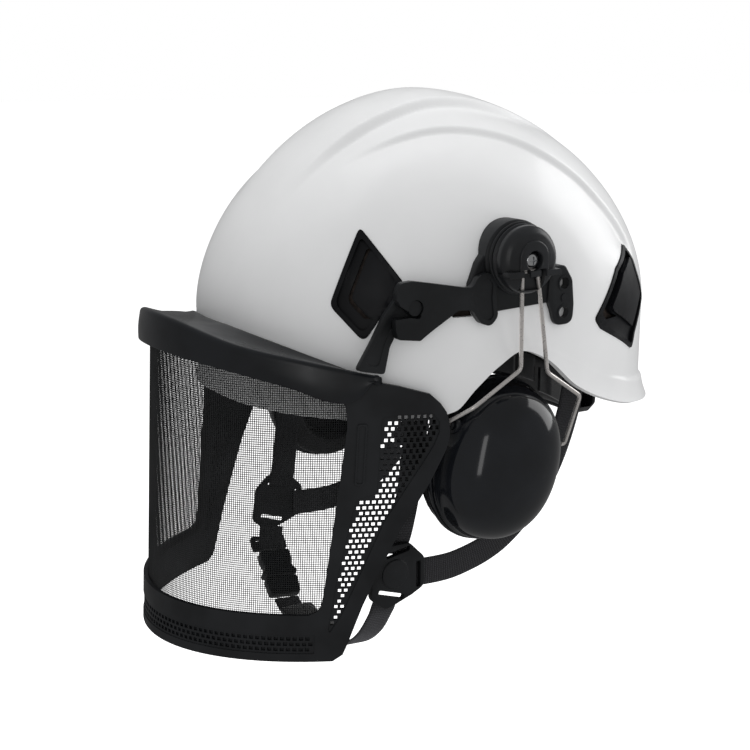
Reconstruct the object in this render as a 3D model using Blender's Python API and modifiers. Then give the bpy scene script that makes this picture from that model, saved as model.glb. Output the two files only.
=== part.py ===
# Arborist helmet: climbing helmet shell with hinged mesh visor, swing-out ear muffs,
# geared nape band and webbing chin strap.
# Metres, +Z up, front of the helmet towards -Y, wearer's left towards +X.
# Lengths below are in millimetres and are scaled once, when an object is made.
import math

import bmesh
import bpy
from mathutils import Matrix, Vector

for old in list(bpy.data.objects):
    bpy.data.objects.remove(old, do_unlink=True)

MM = 0.001
GAP = 0.35

# ---- shell
SHELL_FRONT = 127.0        # plan half-length, front
SHELL_REAR = 146.0         # plan half-length, rear
SHELL_SIDE = 110.5         # plan half-width
SHELL_EQUATOR_Z = 37.7
SHELL_CROWN_Z = 160.4
SHELL_WALL = 3.0
PLAN_POWER = 2.2
PROFILE_POWER_FRONT = 1.73
PROFILE_POWER_REAR = 1.83
PROFILE_POWER_SIDE_MORE = 0.25
SHELL_RIM = ((0, -4), (45, -6.5), (60, -6.8), (70, -3.2), (76, 8), (83, 19), (90, 25.5), (98, 20),
             (110, 1.4), (121, -9.4), (135, -18.7), (150, -23), (180, -26))
LIP_HEIGHT = 18.0
LIP_OUT_REAR = 4.5
LIP_OUT_SIDE = 1.2
VENT_PROUD = 0.8

# ---- liner, cradle and headband
LINER_OFFSET = -4.6
LINER_THICK = 13.0
LINER_RIM = ((0, 22), (60, 24), (90, 35), (120, 22), (150, 8), (180, 4))
BAND_SIDE = 80.0
BAND_LENGTH = 100.0
BAND_THICK = 1.8
BAND_Z = (2.0, 26.0)
BAND_DROP = 38.0
BAND_END_DEG = 112.0
TAIL_START_DEG = 114.0
PAD_THICK = 4.0
PAD_END_DEG = 66.0
CRADLE_TOP_Z = 133.0
CRADLE_WIDTH = 18.0

# ---- nape adjuster
KNOB_Z = -24.0
KNOB_RADIUS = 15.0
KNOB_Y = (115.6, 125.0)
PINION_RADIUS = 6.0
NAPE_Y = (103.0, 115.0)
NAPE_HALF_WIDTH = 37.0
NAPE_HALF_HEIGHT = 17.0

# ---- ear muff hub
HUB_Y, HUB_Z = -4.0, 75.4
HUB_BASE_RADIUS = 19.7
HUB_RADIUS = 17.4
HUB_BASE_X = 113.8
HUB_FACE_X = 126.0
HUB_CHORD_Z = 69.2
FLIP_X, FLIP_Z = 122.0, 69.9
WIRE_RADIUS = 1.4
EAR_PLATE_X = 113.0

# ---- ear cup
CUP_BASE_X = 97.0
CUP_Y, CUP_Z = -8.0, -36.0
CUP_TILT_DEG = 16.0
CUP_HALF_WIDTH = 36.0
CUP_HALF_HEIGHT = 44.0
CUP_DEPTH = 32.0
CUP_WALL = 2.5
PIVOT_UP = 15.0
PIVOT_X = 102.5
PIVOT_BOSS = 35.2
SLEEVE_END = 39.4
FRONT_SLEEVE_END = 37.1

# ---- visor
VISOR_HINGE_Y, VISOR_HINGE_Z = -64.0, 53.5
VISOR_LENGTH = 165.0
VISOR_SIDE = 115.4
VISOR_TAPER_LENGTH = -8.5
VISOR_TAPER_SIDE = 5.6
VISOR_BOTTOM_Z = -138.0
WINDOW_BOTTOM_Z = -111.5
FRAME_THICK = 2.4
FRAME_IN = -2.9             # frame surface behind the guard surface
GUARD_THICK = 2.2
WING_FLARE = 3.2
SCREEN_THICK = 0.6
VISOR_ARM_X = (100.2, 103.4)
CARRIER_X = (104.2, 108.2)
CARRIER_LOBE_X = 109.6
VISOR_PIN_RADIUS = 4.0


# ---------------------------------------------------------------- materials
def material(name, rgb, rough, metal=0.0):
    mat = bpy.data.materials.new(name)
    mat.use_nodes = True
    bsdf = mat.node_tree.nodes["Principled BSDF"]
    bsdf.inputs["Base Color"].default_value = (*rgb, 1.0)
    bsdf.inputs["Roughness"].default_value = rough
    bsdf.inputs["Metallic"].default_value = metal
    mat.diffuse_color = (*rgb, 1.0)
    return mat


SHELL_WHITE = material("shell_white", (0.86, 0.87, 0.88), 0.28)
VENT_BLACK = material("vent_black", (0.025, 0.026, 0.028), 0.45)
LINER_FOAM = material("liner_foam", (0.16, 0.14, 0.12), 0.9)
BAND_BLACK = material("band_black", (0.02, 0.02, 0.021), 0.35)
PAD_FABRIC = material("pad_fabric", (0.03, 0.03, 0.032), 0.95)
WEBBING = material("webbing", (0.028, 0.028, 0.03), 0.9)
BRACKET_BLACK = material("bracket_black", (0.028, 0.03, 0.033), 0.5)
GLOSS_BLACK = material("gloss_black", (0.015, 0.016, 0.018), 0.12)
FRAME_BLACK = material("frame_black", (0.035, 0.037, 0.04), 0.55)
SCREEN_MESH = material("screen_mesh", (0.06, 0.06, 0.06), 0.5)
STEEL = material("steel_wire", (0.72, 0.71, 0.69), 0.25, 1.0)
CUSHION = material("cushion", (0.02, 0.02, 0.021), 0.6)
FOAM_GREY = material("foam_grey", (0.12, 0.12, 0.12), 1.0)


# ---------------------------------------------------------------- helpers
def lerp(a, b, t):
    return a + (b - a) * t


def table(points, x):
    if x <= points[0][0]:
        return points[0][1]
    for (x0, y0), (x1, y1) in zip(points, points[1:]):
        if x <= x1:
            t = (x - x0) / (x1 - x0)
            return lerp(y0, y1, t * t * (3 - 2 * t) if len(points) > 8 else t)
    return points[-1][1]


def power(value, exponent):
    return math.copysign(abs(value) ** exponent, value)


def make(name, bm, mat, origin=(0, 0, 0)):
    """Object of this name from a mesh in millimetres, with its origin at the given point."""
    mesh = bpy.data.meshes.new(name)
    shift = Vector(origin)
    for vert in bm.verts:
        vert.co = (vert.co - shift) * MM
    bm.normal_update()
    bm.to_mesh(mesh)
    bm.free()
    obj = bpy.data.objects.new(name, mesh)
    obj.location = shift * MM
    bpy.context.scene.collection.objects.link(obj)
    if mat:
        obj.data.materials.append(mat)
    return obj


def applied(obj):
    """Bakes the object's modifiers into its mesh."""
    bpy.context.view_layer.update()
    graph = bpy.context.evaluated_depsgraph_get()
    mesh = bpy.data.meshes.new_from_object(obj.evaluated_get(graph))
    mesh.name = obj.name
    obj.modifiers.clear()
    old = obj.data
    obj.data = mesh
    bpy.data.meshes.remove(old)
    return obj


def combine(obj, tool, operation="DIFFERENCE", keep=False):
    mod = obj.modifiers.new("Bool", "BOOLEAN")
    mod.operation = operation
    mod.solver = "EXACT"
    mod.object = tool
    applied(obj)
    if not keep:
        bpy.data.objects.remove(tool, do_unlink=True)
    return obj


def outward(bm):
    bmesh.ops.recalc_face_normals(bm, faces=bm.faces)
    if bm.calc_volume(signed=True) < 0:
        bmesh.ops.reverse_faces(bm, faces=bm.faces)


def rounded(points, radius, steps=4):
    """Closed 2-D outline with its corners filleted."""
    result = []
    count = len(points)
    for i, point in enumerate(points):
        r = radius[i] if isinstance(radius, (list, tuple)) else radius
        here = Vector(point)
        before = Vector(points[i - 1]) - here
        after = Vector(points[(i + 1) % count]) - here
        half = before.angle(after) / 2
        reach = min(r / math.tan(half), before.length * 0.48, after.length * 0.48) if half < 1.5 else 0
        if r <= 0 or reach < 0.05:
            result.append(here)
            continue
        start = here + before.normalized() * reach
        end = here + after.normalized() * reach
        for k in range(steps + 1):
            t = k / steps
            result.append(start * (1 - t) ** 2 + here * 2 * t * (1 - t) + end * t * t)
    return result


def prism_bm(outline, place, low, high, levels=1):
    """Extrudes a 2-D outline from low to high. place turns (u, v, w) into x, y, z."""
    bm = bmesh.new()
    face = bm.faces.new([bm.verts.new((p[0], p[1], low)) for p in outline])
    front = [face]
    for level in range(levels):
        done = bmesh.ops.extrude_face_region(bm, geom=front)
        verts = [g for g in done["geom"] if isinstance(g, bmesh.types.BMVert)]
        front_new = [g for g in done["geom"] if isinstance(g, bmesh.types.BMFace)]
        bmesh.ops.translate(bm, verts=verts, vec=(0, 0, (high - low) / levels))
        if level:
            bmesh.ops.delete(bm, geom=front, context="FACES_ONLY")
        front = front_new
    for vert in bm.verts:
        vert.co = Vector(place(vert.co.x, vert.co.y, vert.co.z))
    outward(bm)
    return bm


def along_x(u, v, w):
    return (w, u, v)


def along_y(u, v, w):
    return (u, w, v)


def prism(name, outline, place, low, high, mat=None, origin=(0, 0, 0)):
    return make(name, prism_bm(outline, place, low, high), mat, origin)


def box(name, low, high, mat=None, origin=(0, 0, 0)):
    bm = bmesh.new()
    bmesh.ops.create_cube(bm, size=1.0)
    for vert in bm.verts:
        vert.co = Vector([lerp(low[k], high[k], vert.co[k] + 0.5) for k in range(3)])
    outward(bm)
    return make(name, bm, mat, origin)


def rod_bm(start, end, radius, segments=14, radius_end=None):
    start, end = Vector(start), Vector(end)
    bm = bmesh.new()
    bmesh.ops.create_cone(bm, cap_ends=True, segments=segments, radius1=radius,
                          radius2=radius if radius_end is None else radius_end,
                          depth=(end - start).length)
    turn = (end - start).to_track_quat("Z", "Y").to_matrix().to_4x4()
    bmesh.ops.transform(bm, matrix=Matrix.Translation((start + end) / 2) @ turn, verts=bm.verts)
    outward(bm)
    return bm


def rod(name, start, end, radius, mat=None, segments=14, origin=(0, 0, 0), radius_end=None):
    return make(name, rod_bm(start, end, radius, segments, radius_end), mat, origin)


def lathe(name, profile, centre, mat=None, segments=32, origin=(0, 0, 0)):
    """Turns a closed (radius, x) profile about an axis along X through centre (y, z)."""
    bm = bmesh.new()
    verts = [bm.verts.new((x, r, 0)) for r, x in profile]
    edges = [bm.edges.new((a, b)) for a, b in zip(verts, verts[1:])]
    bmesh.ops.spin(bm, geom=verts + edges, cent=(0, 0, 0), axis=(1, 0, 0),
                   angle=2 * math.pi, steps=segments, use_merge=True)
    bmesh.ops.remove_doubles(bm, verts=bm.verts, dist=1e-4)
    bmesh.ops.translate(bm, verts=bm.verts, vec=(0, *centre))
    outward(bm)
    return make(name, bm, mat, origin)


def grid_bm(fn, nu, nv, wrap=False):
    """Surface grid through fn(u, v), both 0 to 1, with coincident points joined."""
    bm = bmesh.new()
    bmesh.ops.create_grid(bm, x_segments=nu, y_segments=nv, size=0.5)
    for vert in bm.verts:
        vert.co = Vector(fn(vert.co.x + 0.5, vert.co.y + 0.5))
    bmesh.ops.remove_doubles(bm, verts=bm.verts, dist=1e-3)
    bmesh.ops.dissolve_degenerate(bm, edges=bm.edges, dist=1e-4)
    return bm


def slab(name, fn, nu, nv, thick, mat, origin=(0, 0, 0), offset=-1.0, outside=None):
    """Surface grid thickened to one side; outside is a point that its normals turn towards."""
    bm = grid_bm(fn, nu, nv)
    bmesh.ops.recalc_face_normals(bm, faces=bm.faces)
    score = 0.0
    middle = Vector((0, 0, 20)) if outside is None else Vector(outside)
    bm.normal_update()
    for face in bm.faces:
        score += face.normal.dot(face.calc_center_median() - middle) * face.calc_area()
    if score < 0:
        bmesh.ops.reverse_faces(bm, faces=bm.faces)
    obj = make(name, bm, mat, origin)
    mod = obj.modifiers.new("Thickness", "SOLIDIFY")
    mod.thickness = thick * MM
    mod.offset = offset
    mod.use_even_offset = True
    mod.thickness_clamp = 0
    return applied(obj)


def ribbon(name, path, across, width, thick, mat, origin=(0, 0, 0), steps=3):
    """Flat strap along a smooth path; across gives the width direction at each end of the path."""
    points = smooth_path(path, steps)
    count = len(points)
    first, last = Vector(across[0]).normalized(), Vector(across[-1]).normalized()

    def fn(u, v):
        i = min(int(round(u * (count - 1))), count - 1)
        if len(across) == 2:
            side = first.lerp(last, u).normalized()
        else:
            t = u * (len(across) - 1)
            k = min(int(t), len(across) - 2)
            side = Vector(across[k]).lerp(Vector(across[k + 1]), t - k).normalized()
        return points[i] + side * (v - 0.5) * width

    bm = grid_bm(fn, count - 1, 1)
    bmesh.ops.recalc_face_normals(bm, faces=bm.faces)
    obj = make(name, bm, mat, origin)
    mod = obj.modifiers.new("Thickness", "SOLIDIFY")
    mod.thickness = thick * MM
    mod.offset = 0.0
    return applied(obj)


def smooth_path(path, steps):
    pts = [Vector(p) for p in path]
    ends = [pts[0] * 2 - pts[1]] + pts + [pts[-1] * 2 - pts[-2]]
    result = []
    for i in range(1, len(ends) - 2):
        a, b, c, d = ends[i - 1:i + 3]
        for k in range(steps):
            t = k / steps
            result.append(0.5 * (2 * b + (c - a) * t + (2 * a - 5 * b + 4 * c - d) * t * t
                                 + (3 * b - a - 3 * c + d) * t ** 3))
    result.append(pts[-1])
    return result


def wire_object(name, points, radius, mat, origin=(0, 0, 0), corner=3.0):
    """Bent round wire: straight runs with small bends at the corners."""
    soft = []
    pts = [Vector(p) for p in points]
    for i, here in enumerate(pts):
        if i in (0, len(pts) - 1):
            soft.append(here)
            continue
        before, after = pts[i - 1] - here, pts[i + 1] - here
        reach = min(corner, before.length * 0.45, after.length * 0.45)
        start, end = here + before.normalized() * reach, here + after.normalized() * reach
        for t in (0, 0.33, 0.67, 1):
            soft.append(start * (1 - t) ** 2 + here * 2 * t * (1 - t) + end * t * t)
    curve = bpy.data.curves.new(name, "CURVE")
    curve.dimensions = "3D"
    curve.bevel_depth = radius * MM
    curve.bevel_resolution = 1
    curve.use_fill_caps = True
    spline = curve.splines.new("POLY")
    spline.points.add(len(soft) - 1)
    shift = Vector(origin)
    for point, co in zip(spline.points, soft):
        point.co = (*((co - shift) * MM), 1.0)
    obj = bpy.data.objects.new(name, curve)
    obj.location = shift * MM
    bpy.context.scene.collection.objects.link(obj)
    curve.materials.append(mat)
    bpy.context.view_layer.update()
    graph = bpy.context.evaluated_depsgraph_get()
    mesh = bpy.data.meshes.new_from_object(obj.evaluated_get(graph))
    bpy.data.objects.remove(obj, do_unlink=True)
    bm = bmesh.new()
    bm.from_mesh(mesh)
    bpy.data.meshes.remove(mesh)
    bmesh.ops.remove_doubles(bm, verts=bm.verts, dist=1e-6)
    outward(bm)
    made = bpy.data.meshes.new(name)
    bm.to_mesh(made)
    bm.free()
    obj = bpy.data.objects.new(name, made)
    obj.location = shift * MM
    bpy.context.scene.collection.objects.link(obj)
    obj.data.materials.clear()
    obj.data.materials.append(mat)
    return obj


def mirrored(obj, name):
    """The right-hand twin of a left-hand piece."""
    bm = bmesh.new()
    bm.from_mesh(obj.data)
    for vert in bm.verts:
        vert.co.x = -vert.co.x
    bmesh.ops.reverse_faces(bm, faces=bm.faces)
    mesh = bpy.data.meshes.new(name)
    bm.to_mesh(mesh)
    bm.free()
    twin = bpy.data.objects.new(name, mesh)
    twin.location = (-obj.location.x, obj.location.y, obj.location.z)
    bpy.context.scene.collection.objects.link(twin)
    for mat in obj.data.materials:
        mesh.materials.append(mat)
    return twin


def pair(obj):
    mirrored(obj, obj.name[:-4] + "right")
    return obj


# ---------------------------------------------------------------- shell surface
def plan_point(deg, grow=0.0, share=1.0):
    """Plan position at this parameter angle from the front, towards +X."""
    c, s = math.cos(math.radians(deg)), math.sin(math.radians(deg))
    length = (SHELL_FRONT if c > 0 else SHELL_REAR) + grow
    return ((SHELL_SIDE + grow) * share * power(s, 2 / PLAN_POWER),
            -length * share * power(c, 2 / PLAN_POWER))


def rim_height(deg, rims):
    x, y = plan_point(deg)
    return table(rims, abs(math.degrees(math.atan2(x, -y))))


def shell_point(deg, v, grow, rims, lip=True, dome_share=0.72):
    """v runs from the crown (0) down to the rim (1)."""
    c = math.cos(math.radians(deg))
    n = lerp(PROFILE_POWER_REAR, PROFILE_POWER_FRONT, 0.5 + 0.5 * c) + PROFILE_POWER_SIDE_MORE * (1 - c * c) ** 2
    rim = rims if isinstance(rims, float) else rim_height(deg, rims)
    top = SHELL_CROWN_Z + grow - SHELL_EQUATOR_Z
    if v < dome_share:
        psi = v / dome_share * math.pi / 2
        share = math.sin(psi) ** (2 / n)
        z = SHELL_EQUATOR_Z + top * max(math.cos(psi), 0) ** (2 / n)
    else:
        share = 1.0
        z = lerp(SHELL_EQUATOR_Z, rim, (v - dome_share) / (1 - dome_share))
    x, y = plan_point(deg, grow, share)
    if lip and z < rim + LIP_HEIGHT:
        t = 1 - (z - rim) / LIP_HEIGHT
        out = lerp(LIP_OUT_SIDE, LIP_OUT_REAR, max(0.0, -c)) * t * t
        scale = 1 + out / math.hypot(x, y)
        x, y = x * scale, y * scale
    return (x, y, z)


def shell_slab(name, grow, thick, rims, mat, nu=60, nv=16, lip=True):
    return slab(name, lambda u, v: shell_point(360 * u, v, grow, rims, lip), nu, nv, thick, mat)


def shell_block(name, grow):
    """Solid block inside the shell's outer surface, for shaping what sits on it."""
    bm = grid_bm(lambda u, v: shell_point(360 * u, v, grow, -60.0, False), 60, 16)
    edges = [e for e in bm.edges if e.is_boundary]
    bmesh.ops.holes_fill(bm, edges=edges, sides=0)
    outward(bm)
    return make(name, bm, None)


shell = shell_slab("shell", 0.0, SHELL_WALL, SHELL_RIM, SHELL_WHITE)
liner = shell_slab("liner", LINER_OFFSET, LINER_THICK, LINER_RIM, LINER_FOAM, 40, 9, False)


# ---------------------------------------------------------------- vents
def facing_frame(points):
    """Centre and axes of a plane that best holds these shell points on the +X side."""
    centre = sum((Vector(p) for p in points), Vector()) / len(points)
    normal = Vector()
    for a, b in zip(points, points[1:] + points[:1]):
        normal += (Vector(a) - centre).cross(Vector(b) - centre)
    normal.normalize()
    if normal.x < 0:
        normal.negate()
    up = (Vector((0, 0, 1)) - normal * normal.z).normalized()
    side = up.cross(normal).normalized()
    return centre, side, up, normal


VENT_FRONT = [(72.5, -76, 91), (94.4, -62.8, 64), (88.4, -82.9, 35), (75.6, -95.5, 53)]
VENT_REAR = [(79.2, 95.3, 73), (79.5, 103.6, 57), (73.0, 115.0, 39), (88.9, 94, 13),
             (103.2, 59.6, 30.6), (104.5, 54.7, 36.3), (93.9, 75.9, 61.7)]


def outline_on(points, frame):
    centre, side, up, _ = frame
    return [((Vector(p) - centre).dot(side), (Vector(p) - centre).dot(up)) for p in points]


def scaled_outline(outline, amount):
    """Outline moved outwards by about this much."""
    cx = sum(p[0] for p in outline) / len(outline)
    cy = sum(p[1] for p in outline) / len(outline)
    result = []
    for p in outline:
        reach = math.hypot(p[0] - cx, p[1] - cy)
        result.append((cx + (p[0] - cx) * (1 + amount / reach), cy + (p[1] - cy) * (1 + amount / reach)))
    return result


def vent(name, points, radius, slots):
    frame = facing_frame(points)
    centre, side, up, normal = frame

    def place(u, v, w):
        return centre + side * u + up * v + normal * w

    base = outline_on(points, frame)
    insert = shell_slab(name, VENT_PROUD, SHELL_WALL + 2 * VENT_PROUD - 0.2, SHELL_RIM, VENT_BLACK, 60, 16)
    keep = make("keep", prism_bm(rounded(base, radius), place, -22, 22), None)
    combine(insert, keep, "INTERSECT")
    hole = make("hole", prism_bm(rounded(scaled_outline(base, 0.7), radius), place, -22, 22), None)
    combine(shell, hole, keep=True)
    other = mirrored(hole, "hole_right")
    combine(shell, other)
    bpy.data.objects.remove(hole, do_unlink=True)
    for start, end, half in slots:
        a, b = Vector(base[start[0]]).lerp(Vector(base[start[1]]), start[2]), Vector(base[end[0]]).lerp(
            Vector(base[end[1]]), end[2])
        along = (b - a).normalized()
        across = Vector((-along.y, along.x)) * half
        quad = [a + across, b + across, b - across, a - across]
        slot = make("slot", prism_bm(quad, place, -26, 24), None)
        combine(insert, slot, keep=True)
        combine(liner, slot, keep=True)
        twin = mirrored(slot, "slot_right")
        combine(liner, twin)
        bpy.data.objects.remove(slot, do_unlink=True)
    pair(insert)
    return insert


vent("vent_insert_front_left", VENT_FRONT, (2, 4, 4, 6),
     [((0, 2, 0.26), (3, 1, 0.24), 2.4)])
vent("vent_insert_rear_left", VENT_REAR, (3, 2, 4, 3, 4, 3, 2),
     [((0, 4, 0.22), (5, 2, 0.24), 2.2)])

# accessory slot in the shell, in front of the muff bracket
slot = prism("slot", [(-45, 52), (-31, 52), (-29, 46.5), (-41, 46.5)], along_x, 98, 120)
combine(shell, slot, keep=True)
combine(shell, mirrored(slot, "slot_right"))
bpy.data.objects.remove(slot, do_unlink=True)


# ---------------------------------------------------------------- head side
def band_point(deg, z, grow=0.0):
    a = math.radians(deg)
    return ((BAND_SIDE + grow) * math.sin(a), -(BAND_LENGTH + grow) * math.cos(a), z)


def band_drop(deg):
    t = max(0.0, (abs(deg) - 80) / 80)
    t = min(t, 1.0)
    return -BAND_DROP * t * t * (3 - 2 * t)


def band_strip(name, start, end, z0, z1, thick, mat, grow=0.0, nu=24, nv=2, squeeze=None):
    def fn(u, v):
        deg = lerp(start, end, u)
        low, high = z0, z1
        if squeeze:
            low, high = squeeze(deg, z0, z1)
        return band_point(deg, lerp(low, high, v) + band_drop(deg), grow)
    return slab(name, fn, nu, nv, thick, mat)


def taper(deg, z0, z1):
    t = min(1.0, max(0.0, (abs(deg) - 45) / 25))
    return z0 + 8.5 * t, z1 - 1.0 * t


band_strip("headband", -BAND_END_DEG, BAND_END_DEG, BAND_Z[0], BAND_Z[1], BAND_THICK, BAND_BLACK,
           nu=40, squeeze=taper)
band_strip("brow_pad", -PAD_END_DEG, PAD_END_DEG, -1.0, 32.0, PAD_THICK, PAD_FABRIC,
           grow=-BAND_THICK - 0.4, nu=24)


def cradle_strap(name, azimuth, top, front_low, rear_low):
    """Webbing loop over the head from the front of the headband to its rear."""
    path = []
    for k in range(13):
        a = math.pi * k / 12
        low = front_low if k < 6 else rear_low
        reach = math.cos(a)
        deg = azimuth if reach > 0 else azimuth + 180
        x, y, _ = band_point(deg, 0, 3.0)
        share = abs(reach) ** (2 / 2.3)
        path.append((x * share, y * share, low + (top - low) * math.sin(a) ** (2 / 2.3)))
    x, y, _ = band_point(azimuth, 0)
    side = Vector((-y, x, 0)).normalized()
    return ribbon(name, path, (side, side), CRADLE_WIDTH, 1.2, WEBBING, steps=1)


cradle_strap("cradle_strap_left", 36.0, CRADLE_TOP_Z, 18.0, 6.0)
cradle_strap("cradle_strap_right", -36.0, CRADLE_TOP_Z - 2.6, 18.0, 6.0)

# nape yoke: the fixed back of the head harness, with the housing that the tails run in
yoke = box("nape_yoke", (-NAPE_HALF_WIDTH, NAPE_Y[0], KNOB_Z - NAPE_HALF_HEIGHT),
           (NAPE_HALF_WIDTH, NAPE_Y[1], KNOB_Z + NAPE_HALF_HEIGHT), BAND_BLACK, (0, NAPE_Y[1], KNOB_Z))
bevel = yoke.modifiers.new("Round", "BEVEL")
bevel.width = 4 * MM
bevel.segments = 2
applied(yoke)
for x in (-1, 1):
    path = [(x * 26, 109, KNOB_Z + 10), (x * 33, 109, 4), (x * 41, 106.5, 28), (x * 49, 100.5, 50)]
    arm = ribbon("arm", path, ((1, 0, 0), (1, x * 0.35, 0)), 13, 2.2, BAND_BLACK)
    combine(yoke, arm, "UNION")
# cavity for the racks and the pinion, open at both ends and round the shaft
cavity = box("cavity", (-NAPE_HALF_WIDTH - 9, 105.4, KNOB_Z - 12.2), (NAPE_HALF_WIDTH + 9, 112.2, KNOB_Z + 12.2))
combine(yoke, cavity)
shaft_hole = rod("shaft_hole", (0, 110, KNOB_Z), (0, 118, KNOB_Z), 3.6, segments=20)
combine(yoke, shaft_hole)

# pad on the head side of the nape yoke
slab("nape_pad", lambda u, v: (lerp(-34, 34, u), 102.6,
                               KNOB_Z + lerp(-15, 15, v)), 10, 1, 3.4, PAD_FABRIC, outside=(0, 0, KNOB_Z))

# racks: each tail runs in the housing, above or below the pinion, then round to the headband
RACK = 4.6


def tail(name, sign):
    level = KNOB_Z + sign * (PINION_RADIUS + 0.4 + RACK / 2)
    path = [(sign * -12, 109, level), (sign * 40, 109, level)]
    for deg in (149, 140, 131, 122, TAIL_START_DEG):
        x, y, _ = band_point(deg, 0, 0.9)
        path.append((sign * x, y, 12.5 + band_drop(deg)))
    points = [Vector(p) for p in path]

    def fn(u, v):
        t = u * (len(points) - 1)
        k = min(int(t), len(points) - 2)
        centre = points[k].lerp(points[k + 1], t - k)
        wide = lerp(RACK, 14.0, min(1.0, max(0.0, (abs(centre.x) - 42) / 16)))
        if centre.y < 108.9:
            wide = max(wide, RACK)
        return centre + Vector((0, 0, (v - 0.5) * wide))

    bm = grid_bm(fn, 12, 1)
    bmesh.ops.recalc_face_normals(bm, faces=bm.faces)
    obj = make(name, bm, BAND_BLACK, (0, 109, KNOB_Z))
    mod = obj.modifiers.new("Thickness", "SOLIDIFY")
    mod.thickness = 1.6 * MM
    mod.offset = 0.0
    mod.use_even_offset = True
    return applied(obj)


tail("band_tail_left", 1)
tail("band_tail_right", -1)

rod("ratchet_pinion", (0, 106.0, KNOB_Z), (0, 111.6, KNOB_Z), PINION_RADIUS, BAND_BLACK, 24, (0, 109, KNOB_Z))
pinion = bpy.data.objects["ratchet_pinion"]
stub = rod("stub", (0, 111.0, KNOB_Z), (0, 116.8, KNOB_Z), 3.2, segments=16)
combine(pinion, stub, "UNION")
knob = rod("ratchet_knob", (0, KNOB_Y[0], KNOB_Z), (0, KNOB_Y[1], KNOB_Z), KNOB_RADIUS, BAND_BLACK, 32,
           (0, KNOB_Y[0], KNOB_Z))
bevel = knob.modifiers.new("Round", "BEVEL")
bevel.width = 1.5 * MM
bevel.segments = 2
bevel.limit_method = "ANGLE"
applied(knob)
for k in range(10):
    a = 2 * math.pi * (k + 0.5) / 10
    x, z = (KNOB_RADIUS + 1.3) * math.cos(a), KNOB_Z + (KNOB_RADIUS + 1.3) * math.sin(a)
    combine(knob, rod("flute", (x, KNOB_Y[0] + 1.5, z), (x, KNOB_Y[1] + 2, z), 2.6, segments=10))
combine(knob, rod("socket", (0, KNOB_Y[0] - 2, KNOB_Z), (0, KNOB_Y[0] + 1.6, KNOB_Z), 3.55, segments=16))


# ---------------------------------------------------------------- visor carriers and muff brackets
block = shell_block("block", 0.4)

# bracket: hub ring, base plate, front ear under the carrier, rear ear with two holes
bracket = lathe("muff_bracket_left", [(0, 96), (HUB_BASE_RADIUS, 96), (HUB_BASE_RADIUS, 110.4), (19.0, 111.0),
                                      (18.4, 111.2), (18.4, 112.2), (19.0, 112.4), (19.0, HUB_BASE_X - 0.5),
                                      (18.4, HUB_BASE_X), (0, HUB_BASE_X)],
                (HUB_Y, HUB_Z), BRACKET_BLACK, 28)
plate = prism("plate", rounded([(-20.8, 48), (-20.8, 80), (-16, 86), (12, 86), (22, 68), (33.2, 66), (33.4, 37), (18.4, 37),
                                (16.5, 48)],
                               (1, 3, 3, 3, 3, 5, 7.2, 7.2, 2)), along_x, 96, 111.6)
combine(bracket, plate, "UNION")
front_ear = prism("front_ear", rounded([(-38, 49), (-36, 62), (-27, 74), (-18, 84), (-12, 84), (-12, 48), (-20, 48),
                                        (-23, 42.5), (-34, 44)], (4, 4, 6, 3, 0, 0, 2, 3, 4)), along_x, 96, 109.2)
combine(bracket, front_ear, "UNION")
ear = prism("ear", rounded([(17.5, 66), (33.2, 66), (33.4, 37), (18.4, 37)], (4, 5, 7.2, 7.2)), along_x, 96, EAR_PLATE_X)
combine(bracket, ear, "UNION")
combine(bracket, block, keep=True)
for z in (60.0, 44.2):
    combine(bracket, rod("hole", (100, 25.8, z), (118, 25.8, z), 3.1, segments=16))
combine(bracket, rod("thread", (105, HUB_Y, HUB_Z), (118, HUB_Y, HUB_Z), 2.6, segments=14))
pair(bracket)

screw = lathe("hub_screw_left", [(0, 106.5), (2.2, 106.5), (2.2, 119.4), (3.8, 119.4), (3.8, 120.6), (3.1, 121.6),
                                 (1.8, 122.0), (0, 122.0)], (HUB_Y, HUB_Z), STEEL, 20, (HUB_BASE_X, HUB_Y, HUB_Z))
for turn in (0, 1):
    size = (0.45, 2.1) if turn else (2.1, 0.45)
    combine(screw, box("cross", (120.4, HUB_Y - size[0], HUB_Z - size[1]), (124, HUB_Y + size[0], HUB_Z + size[1])))
pair(screw)

hub = lathe("muff_hub_left", [(0, HUB_BASE_X + 0.4), (HUB_RADIUS + 0.8, HUB_BASE_X + 0.4), (HUB_RADIUS + 0.8, 115.6),
                              (HUB_RADIUS, 116.2), (HUB_RADIUS, 120.5), (HUB_RADIUS - 0.8, 123.0), (14.6, 125.0),
                              (11.5, HUB_FACE_X), (0, HUB_FACE_X)],
            (HUB_Y, HUB_Z), BRACKET_BLACK, 28, (HUB_BASE_X, HUB_Y, HUB_Z))
combine(hub, box("chord", (117.0, HUB_Y - 30, 40), (140, HUB_Y + 30, HUB_CHORD_Z)))
lip = box("lip", (116.5, HUB_Y - 16.6, HUB_CHORD_Z - 1.8), (127.4, HUB_Y + 16.6, HUB_CHORD_Z + 1.2))
combine(hub, lip, "UNION")
combine(hub, rod("recess", (119.1, HUB_Y, HUB_Z), (130, HUB_Y, HUB_Z), 5.1, segments=20))
combine(hub, rod("bore", (110, HUB_Y, HUB_Z), (124, HUB_Y, HUB_Z), 2.5, segments=14))
combine(hub, box("groove", (119.9, HUB_Y - 7.2, 60), (126.3, HUB_Y + 7.2, 69.0)))
combine(hub, box("groove", (119.9, HUB_Y - 7.2, 66), (124.1, HUB_Y + 7.2, 71.9)))
pair(hub)

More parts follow.
